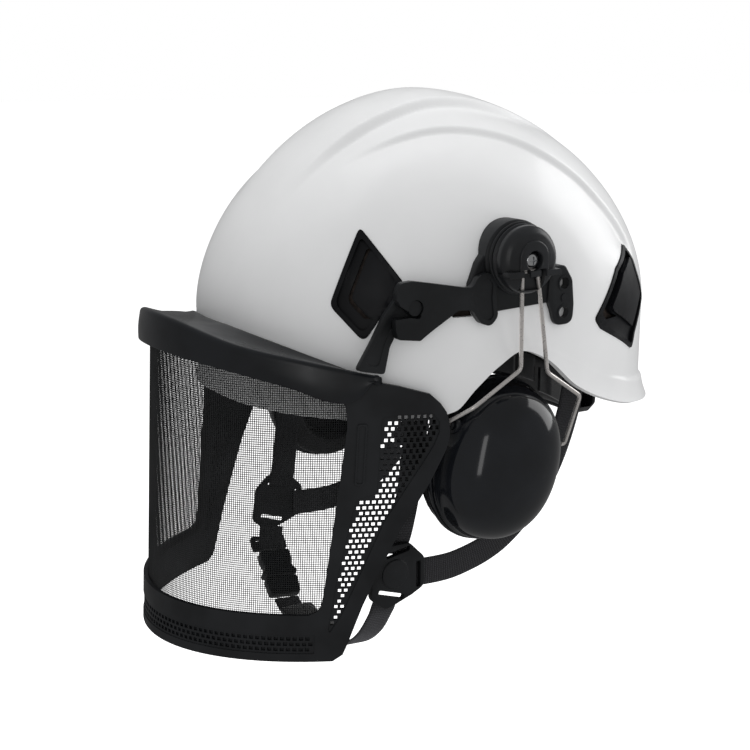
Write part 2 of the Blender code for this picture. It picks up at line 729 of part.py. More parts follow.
# carrier: slim arm from the bracket's front ear to the visor pivot
carrier_outline = rounded([(-73.5, 64), (-66, 67.5), (-40, 62.5), (-33.5, 68.5), (-26, 70), (-22, 64), (-23, 56),
                           (-21.5, 46), (-26, 41.5), (-32, 44), (-37.5, 51.5), (-46, 51), (-60.2, 36.2),
                           (-75.5, 38.2), (-75.5, 48.2), (-74.8, 50.2)],
                          (5, 5, 8, 4, 5, 5, 6, 5, 5, 5, 6, 4, 3, 1.5, 0, 0))
bm = prism_bm(carrier_outline, along_x, CARRIER_X[0], CARRIER_X[1])
for y in (-58, -53, -48, -43, -38):
    bmesh.ops.bisect_plane(bm, geom=bm.verts[:] + bm.edges[:] + bm.faces[:], plane_co=(0, y, 0), plane_no=(0, 1, 0))
for vert in bm.verts:
    t = min(1.0, max(0.0, (vert.co.y + 62) / 26))
    vert.co.x += (CARRIER_LOBE_X - CARRIER_X[0]) * t * t * (3 - 2 * t)
outward(bm)
carrier = make("visor_carrier_left", bm, BRACKET_BLACK, (CARRIER_X[0], VISOR_HINGE_Y, VISOR_HINGE_Z))
combine(carrier, rod("eye", (96, VISOR_HINGE_Y, VISOR_HINGE_Z), (112, VISOR_HINGE_Y, VISOR_HINGE_Z),
                     VISOR_PIN_RADIUS + 0.4, segments=24))
combine(carrier, prism("notch", [(-82, 47.2), (-65, 47.2), (-62.4, 48.4), (-62.4, 52), (-65.2, 52), (-65.6, 49.4),
                                 (-82, 49.4)], along_x, 96, 112))
pair(carrier)


# ---------------------------------------------------------------- visor
def visor_axes(z):
    t = (26 - z) / 160
    return VISOR_LENGTH - VISOR_TAPER_LENGTH * t, VISOR_SIDE - VISOR_TAPER_SIDE * t


def visor_point(deg, z, grow=0.0):
    length, side = visor_axes(z)
    a = math.radians(deg)
    return ((side + grow) * math.sin(a), -(length + grow) * math.cos(a), z)


def visor_deg(y, z):
    length, _ = visor_axes(z)
    return math.degrees(math.acos(min(1.0, max(-1.0, -y / length))))


TOP_RIM = ((-165, 45.0), (-143, 34.0), (-116, 27.5), (-83, 20.0))
BAND_LOW = ((-166, 26.4), (-140, 19.4), (-118, 12.5), (-104, 6.5), (-96, 5.2), (-90, 8.0), (-83, 17.0))
GUARD_END_DEG = 61.0
HINGE = (0, VISOR_HINGE_Y, VISOR_HINGE_Z)


def guard_point(u, v):
    deg = lerp(-GUARD_END_DEG, GUARD_END_DEG, u)
    _, y, _ = visor_point(deg, 26)
    rim = Vector(visor_point(deg, table(TOP_RIM, y)))
    low = Vector(visor_point(deg, min(table(BAND_LOW, y), rim.z - 3.2), 0.8))
    # the shelf's inner edge follows the shell a little way off
    x_in, y_in = plan_point(deg * 0.845, 2.0)
    inner = Vector((x_in, y_in, lerp(37.0, 17.6, min(1.0, max(0.0, (y_in + 128) / 44)))))
    across = (inner - rim)
    if v <= 0.45:
        return inner.lerp(rim + across.normalized() * 2.2, v / 0.45)
    if v <= 0.6:
        t = (v - 0.45) / 0.15
        start, end = rim + across.normalized() * 2.2, rim + (low - rim).normalized() * 2.2
        return start * (1 - t) ** 2 + rim * 2 * t * (1 - t) + end * t * t
    return (rim + (low - rim).normalized() * 2.2).lerp(low, (v - 0.6) / 0.4)


guard = slab("brow_guard", guard_point, 36, 7, GUARD_THICK, GLOSS_BLACK, HINGE, outside=(0, -60, -10))

# screen frame: top strip behind the guard, posts, bottom strip and the two side wings
WING_EDGE = ((15.0, -81.3), (12.8, -71.4), (8.1, -55.9), (3.0, -50.4), (-1.9, -47.0), (-7.0, -45.3), (-11.9, -44.7),
             (-17.0, -44.9), (-22.5, -46.6), (-40, -55.0), (-64.1, -69.0), (-90, -80.8), (-107.9, -88.3),
             (-130.5, -96.3), (VISOR_BOTTOM_Z, -103.0))
WINDOW_EDGE = ((8.6, -98.5), (6, -97.2), (0.5, -96.4), (-8.3, -96.0), (-40, -99.8), (-70, -103.6), (-100, -107.4),
               (-106, -108.6), (WINDOW_BOTTOM_Z, -112.5))


def along(points, t):
    k = t * (len(points) - 1)
    i = min(int(k), len(points) - 2)
    return lerp(points[i][0], points[i + 1][0], k - i), lerp(points[i][1], points[i + 1][1], k - i)


def frame_top(y):
    return table(((-165, 34.5), (-140, 27.0), (-118, 20.5), (-100, 15.0), (-81, 15.0)), y)


def frame_solid():
    grow = FRAME_IN
    bm = bmesh.new()
    window_line = [(frame_top(-98.0), -98.2)] + list(WINDOW_EDGE) + [(VISOR_BOTTOM_Z, -113.5)]
    n_rows = 2 * (len(window_line) - 1)

    def add(fn, nu, nv):
        part = grid_bm(fn, nu, nv)
        mesh = bpy.data.meshes.new("patch")
        part.to_mesh(mesh)
        part.free()
        bm.from_mesh(mesh)
        bpy.data.meshes.remove(mesh)

    def wing(sign):
        def fn(u, v):
            wz, wy = along(window_line, v)
            ez, ey = along(WING_EDGE, v)
            deg = lerp(visor_deg(wy, wz), visor_deg(ey, ez), u)
            x, y, z = visor_point(deg, lerp(wz, ez, u), grow)
            t = min(1.0, max(0.0, (y + 88) / 44))
            return (sign * (x + WING_FLARE * t * t * (3 - 2 * t)), y, z)
        return fn

    def strip(first, last, follow):
        def fn(u, v):
            k = lerp(first, last, v) / (len(window_line) - 1)
            z_side, y_side = along(window_line, k)
            end = visor_deg(y_side, z_side)
            deg = lerp(-end, end, u)
            _, y, _ = visor_point(deg, 20)
            _, y_end, _ = visor_point(end, 20)
            z = z_side + (frame_top(y) - frame_top(y_end)) * follow
            return visor_point(deg, z, grow)
        return fn

    add(wing(1), 4, n_rows)
    add(wing(-1), 4, n_rows)
    add(strip(0, 1, 1.0), 24, 2)
    count = len(window_line) - 1
    add(strip(count - 1, count, 0.0), 24, 2)
    bmesh.ops.remove_doubles(bm, verts=bm.verts, dist=0.02)
    bmesh.ops.recalc_face_normals(bm, faces=bm.faces)
    bm.normal_update()
    score = sum(f.normal.dot(f.calc_center_median() - Vector((0, 0, f.calc_center_median().z))) for f in bm.faces)
    if score < 0:
        bmesh.ops.reverse_faces(bm, faces=bm.faces)
    obj = make("screen_frame", bm, FRAME_BLACK, HINGE)
    mod = obj.modifiers.new("Thickness", "SOLIDIFY")
    mod.thickness = FRAME_THICK * MM
    mod.offset = -1.0
    mod.use_even_offset = True
    return applied(obj)


frame_solid()

# woven screen, clipped to the inside of the frame
def screen_point(u, v):
    z_top_side, y_side = frame_top(-98.0) - 3.0, -94.0
    low_z = WINDOW_BOTTOM_Z - 5.0
    z_side = lerp(z_top_side, low_z, v)
    end = visor_deg(lerp(y_side, -108.0, v), z_side)
    deg = lerp(-end, end, u)
    _, y, _ = visor_point(deg, 20)
    rise = (frame_top(y) - frame_top(-98.0)) * (1 - v) ** 2
    return visor_point(deg, z_side + rise, FRAME_IN - FRAME_THICK - GAP)


slab("mesh_screen", screen_point, 24, 5, SCREEN_THICK, SCREEN_MESH, HINGE, outside=(0, 0, -40))

# visor arm: from the guard's end up to the pivot pin that hooks into the carrier
arm = prism("visor_arm_left", rounded([(-95.5, 24.0), (-79.5, 20.4), (-76.5, 34), (-72.5, 41), (-61, 46), (-57.5, 53.5),
                                       (-61, 60.5), (-70, 61.5), (-79.5, 50.5), (-86.5, 38)],
                                      (2, 2, 8, 5, 4, 5, 5, 8, 8, 10)), along_x, VISOR_ARM_X[0], VISOR_ARM_X[1],
            BRACKET_BLACK, (VISOR_ARM_X[0], VISOR_HINGE_Y, VISOR_HINGE_Z))
combine(arm, rod("pin", (VISOR_ARM_X[0] + 1, VISOR_HINGE_Y, VISOR_HINGE_Z), (107.4, VISOR_HINGE_Y, VISOR_HINGE_Z),
                 VISOR_PIN_RADIUS, segments=24), "UNION")
pair(arm)


# ---------------------------------------------------------------- ear muffs
def cup_axes():
    a = math.radians(CUP_TILT_DEG)
    return Vector((0, math.cos(a), -math.sin(a))), Vector((0, math.sin(a), math.cos(a)))


CUP_REAR, CUP_UP = cup_axes()
CUP_CENTRE = Vector((CUP_BASE_X, CUP_Y, CUP_Z))
PIVOT = Vector((PIVOT_X, CUP_Y, CUP_Z)) + CUP_UP * PIVOT_UP


def cup_place(depth, rear, up):
    return CUP_CENTRE + Vector((depth, 0, 0)) + CUP_REAR * rear + CUP_UP * up


def oval(half_width, half_height, depth, count=36, power_of=2.15):
    result = []
    for k in range(count):
        a = 2 * math.pi * k / count
        result.append(cup_place(depth, half_width * power(math.cos(a), 2 / power_of),
                                half_height * power(math.sin(a), 2 / power_of)))
    return result


def oval_rings(name, rings, mat, closed_ring=False, origin=None):
    """Body through stacked ovals: (half width, half height, depth). Ends are capped unless it closes on itself."""
    count = 28

    def fn(u, v):
        k = v * (len(rings) - 1)
        i = min(int(k), len(rings) - 2)
        w, h, d = (lerp(rings[i][j], rings[i + 1][j], k - i) for j in range(3))
        a = 2 * math.pi * u
        return cup_place(d, w * power(math.cos(a), 2 / 2.15), h * power(math.sin(a), 2 / 2.15))

    bm = grid_bm(fn, count, len(rings) - 1)
    edges = [e for e in bm.edges if e.is_boundary]
    if edges:
        bmesh.ops.holes_fill(bm, edges=edges, sides=0)
    outward(bm)
    return make(name, bm, mat, PIVOT if origin is None else origin)


def dome_rings(width, height, depth, start, steps=8, power_of=2.5, flat=0.0):
    rings = []
    for k in range(steps + 1):
        a = math.pi / 2 * k / steps
        share = max(math.cos(a), 0.0) ** (2 / power_of)
        rings.append((max(width * share, flat), max(height * share, flat), start + depth * math.sin(a) ** (2 / power_of)))
    return rings


outer = dome_rings(CUP_HALF_WIDTH, CUP_HALF_HEIGHT, CUP_DEPTH, 0.0, 7, flat=0.01)
inner = dome_rings(CUP_HALF_WIDTH - CUP_WALL, CUP_HALF_HEIGHT - CUP_WALL, CUP_DEPTH - CUP_WALL, -0.0, 5, flat=0.01)
cup = oval_rings("ear_cup_left", outer, GLOSS_BLACK)
hollow = oval_rings("hollow", [(CUP_HALF_WIDTH - CUP_WALL, CUP_HALF_HEIGHT - CUP_WALL, -3.0)] + inner, None)
for sign in (-1, 1):
    boss = rod("boss", PIVOT + CUP_REAR * sign * 24, PIVOT + CUP_REAR * sign * PIVOT_BOSS, 4.6, segments=16)
    combine(cup, boss, "UNION")
combine(cup, hollow)
for sign in (-1, 1):
    combine(cup, rod("hole", PIVOT + CUP_REAR * sign * 20, PIVOT + CUP_REAR * sign * 40, 2.3, segments=14))
pair(cup)

# base plate carries the cushion and closes the cup but for the ear opening
plate = oval_rings("cup_plate_left", [(37.5, 45.5, -4.6), (38.0, 46.0, -4.2), (38.0, 46.0, -0.9), (37.4, 45.4, -0.5)],
                   GLOSS_BLACK)
combine(plate, oval_rings("opening", [(20.0, 28.0, -8.0), (20.0, 28.0, 3.0)], None))
pair(plate)

foam = oval_rings("cup_foam_left", [(30.0, 38.0, 3.0), (30.0, 38.0, 14.0)], FOAM_GREY)
pair(foam)

cushion = oval_rings("cup_cushion_left", [(29.0, 37.0, -19.2), (33.5, 41.5, -18.6), (36.4, 44.4, -15.5), (37.0, 45.0, -12.0),
                                          (36.4, 44.4, -8.0), (34.0, 42.0, -5.0)], CUSHION)
combine(cushion, oval_rings("ear_hole", [(23.0, 31.0, -24.0), (23.0, 31.0, -18.0), (20.5, 28.5, -15.0), (20.5, 28.5, 0.0)], None))
pair(cushion)

# yoke wire: two legs with the flip axis across their tops, inside the hub
FRONT_Y, REAR_Y = HUB_Y - 4.8, HUB_Y + 4.8
wire_points = [PIVOT - CUP_REAR * 36.9, PIVOT - CUP_REAR * 39.9, (113.0, -31.0, -1.0), (114.5, -2.5, 16.4), (FLIP_X, FRONT_Y, FLIP_Z), (FLIP_X, REAR_Y, FLIP_Z),
               (115.0, 14.7, 12.9), (111.0, 40.9, -4.0), PIVOT + CUP_REAR * 43.2, PIVOT + CUP_REAR * 37.9]
wire = wire_object("yoke_wire_left", wire_points, WIRE_RADIUS, STEEL, (FLIP_X, HUB_Y, FLIP_Z), 2.6)
pair(wire)

# sleeves that carry the wire's ends in the cup's bosses
for side, sign in (("front", -1), ("rear", 1)):
    inner_end = PIVOT + CUP_REAR * sign * 31.0
    shoulder = PIVOT + CUP_REAR * sign * (PIVOT_BOSS + 0.4)
    outer_end = PIVOT + CUP_REAR * sign * (SLEEVE_END if sign > 0 else FRONT_SLEEVE_END)
    sleeve = rod("wire_sleeve_%s_left" % side, shoulder, outer_end, 2.7, BRACKET_BLACK, 14, shoulder)
    combine(sleeve, rod("stub", inner_end, shoulder + CUP_REAR * sign * 1.0, 2.0, segments=12), "UNION")
    combine(sleeve, rod("bore", PIVOT + CUP_REAR * sign * (37.6 if sign > 0 else 36.6), PIVOT + CUP_REAR * sign * 46, 1.85, segments=12))
    pair(sleeve)


# ---------------------------------------------------------------- chin strap
STRAP_WIDTH, STRAP_THICK = 16.0, 1.3
DIVIDER = Vector((73.6, -57.0, -100.0))
X, Y, Z = Vector((1, 0, 0)), Vector((0, 1, 0)), Vector((0, 0, 1))

ribbon("strap_front_left", [(83.5, -37, 31), (82.0, -37.5, 20), (79.6, -39, 8), (75.4, -42, -12), (74.4, -46, -50),
                            (72.2, -50.5, -78), (70.2, -54, -91)],
       (Vector((-0.25, 1, 0.1)), Vector((-0.1, 1, 0.1)), Vector((0, 0.97, 0.22))), STRAP_WIDTH, STRAP_THICK, WEBBING)
pair(bpy.data.objects["strap_front_left"])
ribbon("strap_rear_left", [(73.0, 66, 31), (73.2, 67, 8), (72.5, 64, -24), (72.5, 48, -62), (72.0, 20, -92), (71.6, -12, -104),
                           (71.6, -44, -104.5)],
       (Vector((-0.3, 1, -0.1)), Vector((0, 0.85, -0.45)), Vector((0, 0.5, 0.9)), Vector((0, 0.06, 1))),
       STRAP_WIDTH, STRAP_THICK, WEBBING)
pair(bpy.data.objects["strap_rear_left"])

divider = prism("strap_divider_left", rounded([(-69, -92), (-60, -84), (-47, -84), (-37, -94), (-37, -111), (-45, -115),
                                               (-62, -121), (-72, -113)], 5), along_x, DIVIDER.x - 1.0, DIVIDER.x + 2.6, BRACKET_BLACK,
                tuple(DIVIDER))
for outline in ([(-61.5, -88.5), (-46.5, -85.7), (-46.9, -88.4), (-62, -91.2)],
                [(-42.4, -96), (-39.6, -96), (-39.6, -111), (-42.4, -111)],
                [(-67, -111.2), (-51, -116.4), (-50.2, -113.8), (-66.2, -108.6)]):
    combine(divider, prism("slot", rounded(outline, 0.8, 2), along_x, 60, 90))
pair(divider)

LOOP_LOW = Vector((0, -66, -160))
ribbon("chin_strap_left", [(71.6, -60, -117), (69.0, -62, -126), (60, -64, -140), (46, -66, -151), (28, -67.5, -157.5), (10.0, -68, -160)],
       (Vector((0, 1, 0.1)), Vector((0.1, 1, 0)), Y), STRAP_WIDTH, STRAP_THICK, WEBBING)
ribbon("chin_strap_right", [(-71.6, -60, -117), (-70.0, -61.5, -123), (-66.0, -62.7, -131)],
       (Vector((0, 1, 0.1)), Y), STRAP_WIDTH, STRAP_THICK, WEBBING, steps=2)
ribbon("chin_strap_middle", [(-39.4, -66.3, -154.2), (-28, -67.3, -157.8), (-8.0, -68, -160)],
       (Y, Y), STRAP_WIDTH, STRAP_THICK, WEBBING, steps=2)

# pad that joins the two lengths of strap under the chin
def chin_pad_point(u, v):
    x = lerp(-26, 27, u)
    t = (x / 40) ** 2
    return (x, -68.0 + 0.6 * t + (v - 0.5) * 24, -155.6 + 5.2 * t)


slab("chin_pad", chin_pad_point, 10, 1, 3.4, PAD_FABRIC, outside=(0, -68, -100))

# side-release buckle on the right of the chin strap, and the length adjuster above it
BUCKLE_A, BUCKLE_B = Vector((-65.2, -62.8, -132.4)), Vector((-40.4, -66.2, -153.6))
DOWN = (BUCKLE_B - BUCKLE_A).normalized()
OUT = Y.cross(DOWN).normalized()
ACROSS = DOWN.cross(OUT).normalized()


def buckle_place(u, v, w):
    return BUCKLE_A + DOWN * u + ACROSS * v + OUT * w


length = (BUCKLE_B - BUCKLE_A).length
socket = make("buckle_socket", prism_bm(rounded([(0.4, -10), (0.4, 10), (17, 12), (19, 9), (19, -9), (17, -12)], (2, 2, 2, 2, 2, 2)),
                                        buckle_place, -3.8, 3.8), GLOSS_BLACK, BUCKLE_A)
combine(socket, make("hollow", prism_bm([(5, -8.4), (5, 8.4), (30, 8.4), (30, -8.4)], buckle_place, -2.2, 2.2), None))
plug = make("buckle_plug", prism_bm(rounded([(19.6, -11), (19.6, 11), (length - 1, 10), (length - 1, -10)], 2), buckle_place, -3.0, 3.0),
            GLOSS_BLACK, BUCKLE_A)
for low, high in ((-7.8, -4.6), (-1.4, 1.4), (4.6, 7.8)):
    combine(plug, make("prong", prism_bm([(7, low), (7, high), (22, high), (22, low)], buckle_place, -1.7, 1.7), None), "UNION")
adjuster = make("strap_adjuster", prism_bm(rounded([(-13, -11.5), (-13, 11.5), (-3, 11.5), (-3, -11.5)], 1.5), buckle_place, 1.4, 4.4),
                BRACKET_BLACK, BUCKLE_A)
combine(adjuster, make("slot", prism_bm([(-11.4, -8.6), (-11.4, 8.6), (-9.2, 8.6), (-9.2, -8.6)], buckle_place, -3, 9), None))

bpy.data.objects.remove(block, do_unlink=True)
for mesh in [m for m in bpy.data.meshes if not m.users]:
    bpy.data.meshes.remove(mesh)
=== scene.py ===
"""Arborist helmet: the looks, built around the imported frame.

Lengths are in millimetres, and are scaled once, when a piece is made.
The wearer's left is +X and the front is -Y.
"""
import functools
import math

import bmesh
import bpy
from mathutils import Matrix, Vector


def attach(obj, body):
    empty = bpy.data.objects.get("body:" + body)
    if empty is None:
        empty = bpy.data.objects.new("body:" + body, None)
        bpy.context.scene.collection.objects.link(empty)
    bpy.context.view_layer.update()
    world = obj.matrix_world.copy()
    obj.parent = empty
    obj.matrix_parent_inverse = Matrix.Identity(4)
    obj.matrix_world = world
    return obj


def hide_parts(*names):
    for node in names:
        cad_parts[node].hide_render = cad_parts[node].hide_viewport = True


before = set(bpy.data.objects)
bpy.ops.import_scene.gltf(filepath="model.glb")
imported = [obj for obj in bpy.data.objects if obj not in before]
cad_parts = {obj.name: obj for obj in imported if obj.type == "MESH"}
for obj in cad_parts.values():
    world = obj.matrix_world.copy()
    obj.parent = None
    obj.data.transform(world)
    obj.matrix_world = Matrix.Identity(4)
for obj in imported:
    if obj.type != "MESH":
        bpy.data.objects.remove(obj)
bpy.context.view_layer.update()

scene = bpy.context.scene
MM = 0.001
TURN = 2 * math.pi
SIDES = (("left", 1), ("right", -1))

# ---- shared with the solids
SHELL_FRONT, SHELL_REAR, SHELL_SIDE = 127.0, 146.0, 110.5
SHELL_EQUATOR_Z, SHELL_CROWN_Z, SHELL_WALL = 37.7, 160.4, 3.0
PLAN_POWER = 2.2
PROFILE_FRONT, PROFILE_REAR, PROFILE_SIDE_MORE = 1.73, 1.83, 0.25
SHELL_RIM = ((0, -4), (45, -6.5), (60, -6.8), (70, -3.2), (76, 8), (83, 19), (90, 25.5), (98, 20),
             (110, 1.4), (121, -9.4), (135, -18.7), (150, -23), (180, -26))
LIP_HEIGHT, LIP_OUT_REAR, LIP_OUT_SIDE = 18.0, 4.5, 1.2
VENT_PROUD = 0.8
LINER_OFFSET, LINER_THICK = -4.6, 13.0
LINER_RIM = ((0, 22), (60, 24), (90, 35), (120, 22), (150, 8), (180, 4))
BAND_SIDE, BAND_LENGTH, BAND_THICK = 80.0, 100.0, 1.8
BAND_Z, BAND_DROP, BAND_END_DEG = (2.0, 26.0), 38.0, 112.0
TAIL_START_DEG, PAD_THICK, PAD_END_DEG = 114.0, 4.0, 66.0
CRADLE_TOP_Z, CRADLE_WIDTH = 133.0, 18.0
KNOB_Z, KNOB_RADIUS, KNOB_Y = -24.0, 15.0, (115.6, 125.0)
PINION_RADIUS, RACK = 6.0, 4.6
NAPE_Y, NAPE_HALF_WIDTH, NAPE_HALF_HEIGHT = (103.0, 115.0), 37.0, 17.0
HUB_Y, HUB_Z, HUB_RADIUS, HUB_BASE_RADIUS = -4.0, 75.4, 17.4, 19.7
HUB = (HUB_Y, HUB_Z)
HUB_BASE_X, HUB_FACE_X, HUB_CHORD_Z = 113.8, 126.0, 69.2
FLIP_X, FLIP_Z, EAR_PLATE_X = 122.0, 69.9, 113.0
CUP_CENTRE = Vector((97.0, -8.0, -36.0))
CUP_TILT = math.radians(16.0)
CUP_HALF_WIDTH, CUP_HALF_HEIGHT, CUP_DEPTH = 36.0, 44.0, 32.0
PIVOT_UP, PIVOT_X, PIVOT_BOSS, SLEEVE_END = 15.0, 102.5, 35.2, 39.4
FRONT_SLEEVE_END = 37.1
HINGE = (-64.0, 53.5)
VISOR_LENGTH, VISOR_SIDE, VISOR_TAPER_LENGTH, VISOR_TAPER_SIDE = 165.0, 115.4, -8.5, 5.6
VISOR_BOTTOM_Z, WINDOW_BOTTOM_Z = -138.0, -111.5
FRAME_THICK, FRAME_IN, GUARD_THICK, WING_FLARE, SCREEN_THICK = 2.4, -2.9, 2.2, 3.2, 0.6
ARM_X, CARRIER_X, CARRIER_LOBE_X, PIN_RADIUS = (100.2, 103.4), (104.2, 108.2), 109.6, 4.0
STRAP_WIDTH, STRAP_THICK = 16.0, 1.3
X, Y, Z = Vector((1, 0, 0)), Vector((0, 1, 0)), Vector((0, 0, 1))


# ================================================================ helpers
def lerp(a, b, t):
    return a + (b - a) * t


def smooth(t):
    t = min(1.0, max(0.0, t))
    return t * t * (3 - 2 * t)


@functools.lru_cache(None)
def slopes(points):
    chord = [(b[1] - a[1]) / (b[0] - a[0]) for a, b in zip(points, points[1:])]
    inner = [0.0 if a * b <= 0 else 2 * a * b / (a + b) for a, b in zip(chord, chord[1:])]
    return [chord[0]] + inner + [chord[-1]]


def table(points, x):
    """A smooth curve through the points that never overshoots them."""
    if x <= points[0][0]:
        return points[0][1]
    grade = slopes(points)
    for i, ((x0, y0), (x1, y1)) in enumerate(zip(points, points[1:])):
        if x <= x1:
            h = x1 - x0
            t = (x - x0) / h
            bend = grade[i] * h * t * (1 - t) ** 2 - grade[i + 1] * h * t * t * (1 - t)
            return lerp(y0, y1, t * t * (3 - 2 * t)) + bend
    return points[-1][1]


def power(value, exponent):
    return math.copysign(abs(value) ** exponent, value)


def make(name, bm, mat=None):
    mesh = bpy.data.meshes.new(name)
    for vert in bm.verts:
        vert.co = vert.co * MM
    bm.normal_update()
    bm.to_mesh(mesh)
    bm.free()
    obj = bpy.data.objects.new(name, mesh)
    scene.collection.objects.link(obj)
    if mat:
        mesh.materials.append(mat)
    return obj


def applied(obj):
    bpy.context.view_layer.update()
    graph = bpy.context.evaluated_depsgraph_get()
    mesh = bpy.data.meshes.new_from_object(obj.evaluated_get(graph))
    mesh.name = obj.name
    obj.modifiers.clear()
    old = obj.data
    obj.data = mesh
    if not old.users:
        bpy.data.meshes.remove(old)
    return obj


def combine(obj, tool, operation="DIFFERENCE", keep=False):
    mod = obj.modifiers.new("Bool", "BOOLEAN")
    mod.operation = operation
    mod.solver = "EXACT"
    mod.object = tool
    applied(obj)
    if not keep:
        bpy.data.objects.remove(tool, do_unlink=True)
    return obj


def joined(name, objects):
    """One object from several, left as separate shells."""
    bm = bmesh.new()
    for obj in objects:
        bm.from_mesh(obj.data)
        bpy.data.objects.remove(obj, do_unlink=True)
    mesh = bpy.data.meshes.new(name)
    bm.to_mesh(mesh)
    bm.free()
    made = bpy.data.objects.new(name, mesh)
    scene.collection.objects.link(made)
    return made


def bevelled(obj, width, segments=2, angle=35):
    mod = obj.modifiers.new("Bevel", "BEVEL")
    mod.width = width * MM
    mod.segments = segments
    mod.limit_method = "ANGLE"
    mod.angle_limit = math.radians(angle)
    mod.use_clamp_overlap = True
    mod.miter_outer = "MITER_ARC"
    return applied(obj)


def outward(bm):
    bmesh.ops.recalc_face_normals(bm, faces=bm.faces)
    if bm.calc_volume(signed=True) < 0:
        bmesh.ops.reverse_faces(bm, faces=bm.faces)


def corner(start, here, end, steps):
    """Points along a rounded corner, from start to end with its peak towards here."""
    shares = [k / steps for k in range(steps + 1)]
    return [start * (1 - t) ** 2 + here * 2 * t * (1 - t) + end * t * t for t in shares]


def rounded(points, radius, steps=6):
    """A closed outline with its corners rounded, by one radius or by one for each point."""
    result = []
    count = len(points)
    for i, point in enumerate(points):
        r = radius[i] if isinstance(radius, (list, tuple)) else radius
        here = Vector(point)
        before = Vector(points[i - 1]) - here
        after = Vector(points[(i + 1) % count]) - here
        half = before.angle(after) / 2
        reach = min(r / math.tan(half), before.length * 0.48, after.length * 0.48) if half < 1.5 else 0
        if r <= 0 or reach < 0.05:
            result.append(here)
            continue
        start = here + before.normalized() * reach
        end = here + after.normalized() * reach
        result += corner(start, here, end, steps)
    return result


def prism_bm(outline, place, low, high):
    bm = bmesh.new()
    face = bm.faces.new([bm.verts.new((p[0], p[1], low)) for p in outline])
    done = bmesh.ops.extrude_face_region(bm, geom=[face])
    verts = [g for g in done["geom"] if isinstance(g, bmesh.types.BMVert)]
    bmesh.ops.translate(bm, verts=verts, vec=(0, 0, high - low))
    for vert in bm.verts:
        vert.co = Vector(place(vert.co.x, vert.co.y, vert.co.z))
    outward(bm)
    return bm


def along_x(u, v, w):
    return (w, u, v)


def flat(u, v, w):
    return (u, v, w)


def at_knob(u, v, w):
    return (u, w, KNOB_Z + v)


def prism(name, outline, place, low, high, mat=None):
    """An outline in (u, v), drawn out from w = low to w = high, and placed by place(u, v, w)."""
    return make(name, prism_bm(outline, place, low, high), mat)


def rect(u0, v0, u1, v1):
    return [(u0, v0), (u1, v0), (u1, v1), (u0, v1)]


def cut(obj, outline, place, low, high, operation="DIFFERENCE"):
    return combine(obj, prism("tool", outline, place, low, high), operation)


def sliced(bm, axis, positions):
    """Cuts the faces at planes square to the axis, so that a flat sheet can bend there."""
    for position in positions:
        everything = bm.verts[:] + bm.edges[:] + bm.faces[:]
        bmesh.ops.bisect_plane(bm, geom=everything, plane_co=[c * position * MM for c in axis], plane_no=axis)


def box(name, low, high, mat=None):
    bm = bmesh.new()
    bmesh.ops.create_cube(bm, size=1.0)
    for vert in bm.verts:
        vert.co = Vector([lerp(low[k], high[k], vert.co[k] + 0.5) for k in range(3)])
    outward(bm)
    return make(name, bm, mat)


def rod(name, start, end, radius, mat=None, segments=48, radius_end=None):
    start, end = Vector(start), Vector(end)
    bm = bmesh.new()
    bmesh.ops.create_cone(bm, cap_ends=True, segments=segments, radius1=radius,
                          radius2=radius if radius_end is None else radius_end, depth=(end - start).length)
    turn = (end - start).to_track_quat("Z", "Y").to_matrix().to_4x4()
    bmesh.ops.transform(bm, matrix=Matrix.Translation((start + end) / 2) @ turn, verts=bm.verts)
    outward(bm)
    return make(name, bm, mat)


def axle(name, low_x, high_x, radius, centre, **kind):
    """A rod along X, through centre (y, z)."""
    return rod(name, (low_x, *centre), (high_x, *centre), radius, **kind)


def lathe(name, profile, centre, mat=None, segments=96):
    """Turns a closed (radius, x) profile about an axis along X through centre (y, z)."""
    bm = bmesh.new()
    verts = [bm.verts.new((x, r, 0)) for r, x in profile]
    edges = [bm.edges.new((a, b)) for a, b in zip(verts, verts[1:])]
    bmesh.ops.spin(bm, geom=verts + edges, cent=(0, 0, 0), axis=(1, 0, 0), angle=TURN, steps=segments,
                   use_merge=True)
    bmesh.ops.remove_doubles(bm, verts=bm.verts, dist=1e-4)
    bmesh.ops.translate(bm, verts=bm.verts, vec=(0, *centre))
    outward(bm)
    return make(name, bm, mat)


def soft_profile(points, radius=0.6, steps=4):
    """Rounds the corners of an open (radius, x) profile."""
    pts = [Vector((p[0], p[1])) for p in points]
    result = [pts[0]]
    for before, here, after in zip(pts, pts[1:], pts[2:]):
        a, b = before - here, after - here
        reach = min(radius, a.length * 0.45, b.length * 0.45)
        result += corner(here + a.normalized() * reach, here, here + b.normalized() * reach, steps)
    result.append(pts[-1])
    return [(p.x, p.y) for p in result]


def grid_bm(fn, nu, nv):
    """Surface grid through fn(u, v), with its poles and seam merged."""
    bm = bmesh.new()
    layer = bm.loops.layers.uv.new("UVMap")
    verts = [[bm.verts.new(fn(i / nu, j / nv)) for j in range(nv + 1)] for i in range(nu + 1)]
    for i in range(nu):
        for j in range(nv):
            face = bm.faces.new((verts[i][j], verts[i + 1][j], verts[i + 1][j + 1], verts[i][j + 1]))
            for loop, (a, b) in zip(face.loops, ((i, j), (i + 1, j), (i + 1, j + 1), (i, j + 1))):
                loop[layer].uv = (a / nu, b / nv)
    bmesh.ops.remove_doubles(bm, verts=bm.verts, dist=1e-3)
    bmesh.ops.dissolve_degenerate(bm, edges=bm.edges, dist=1e-4)
    return bm


def turned_out(bm, middle):
    bmesh.ops.recalc_face_normals(bm, faces=bm.faces)
    bm.normal_update()
    if sum(f.normal.dot(f.calc_center_median() - Vector(middle)) * f.calc_area() for f in bm.faces) < 0:
        bmesh.ops.reverse_faces(bm, faces=bm.faces)
    bm.normal_update()


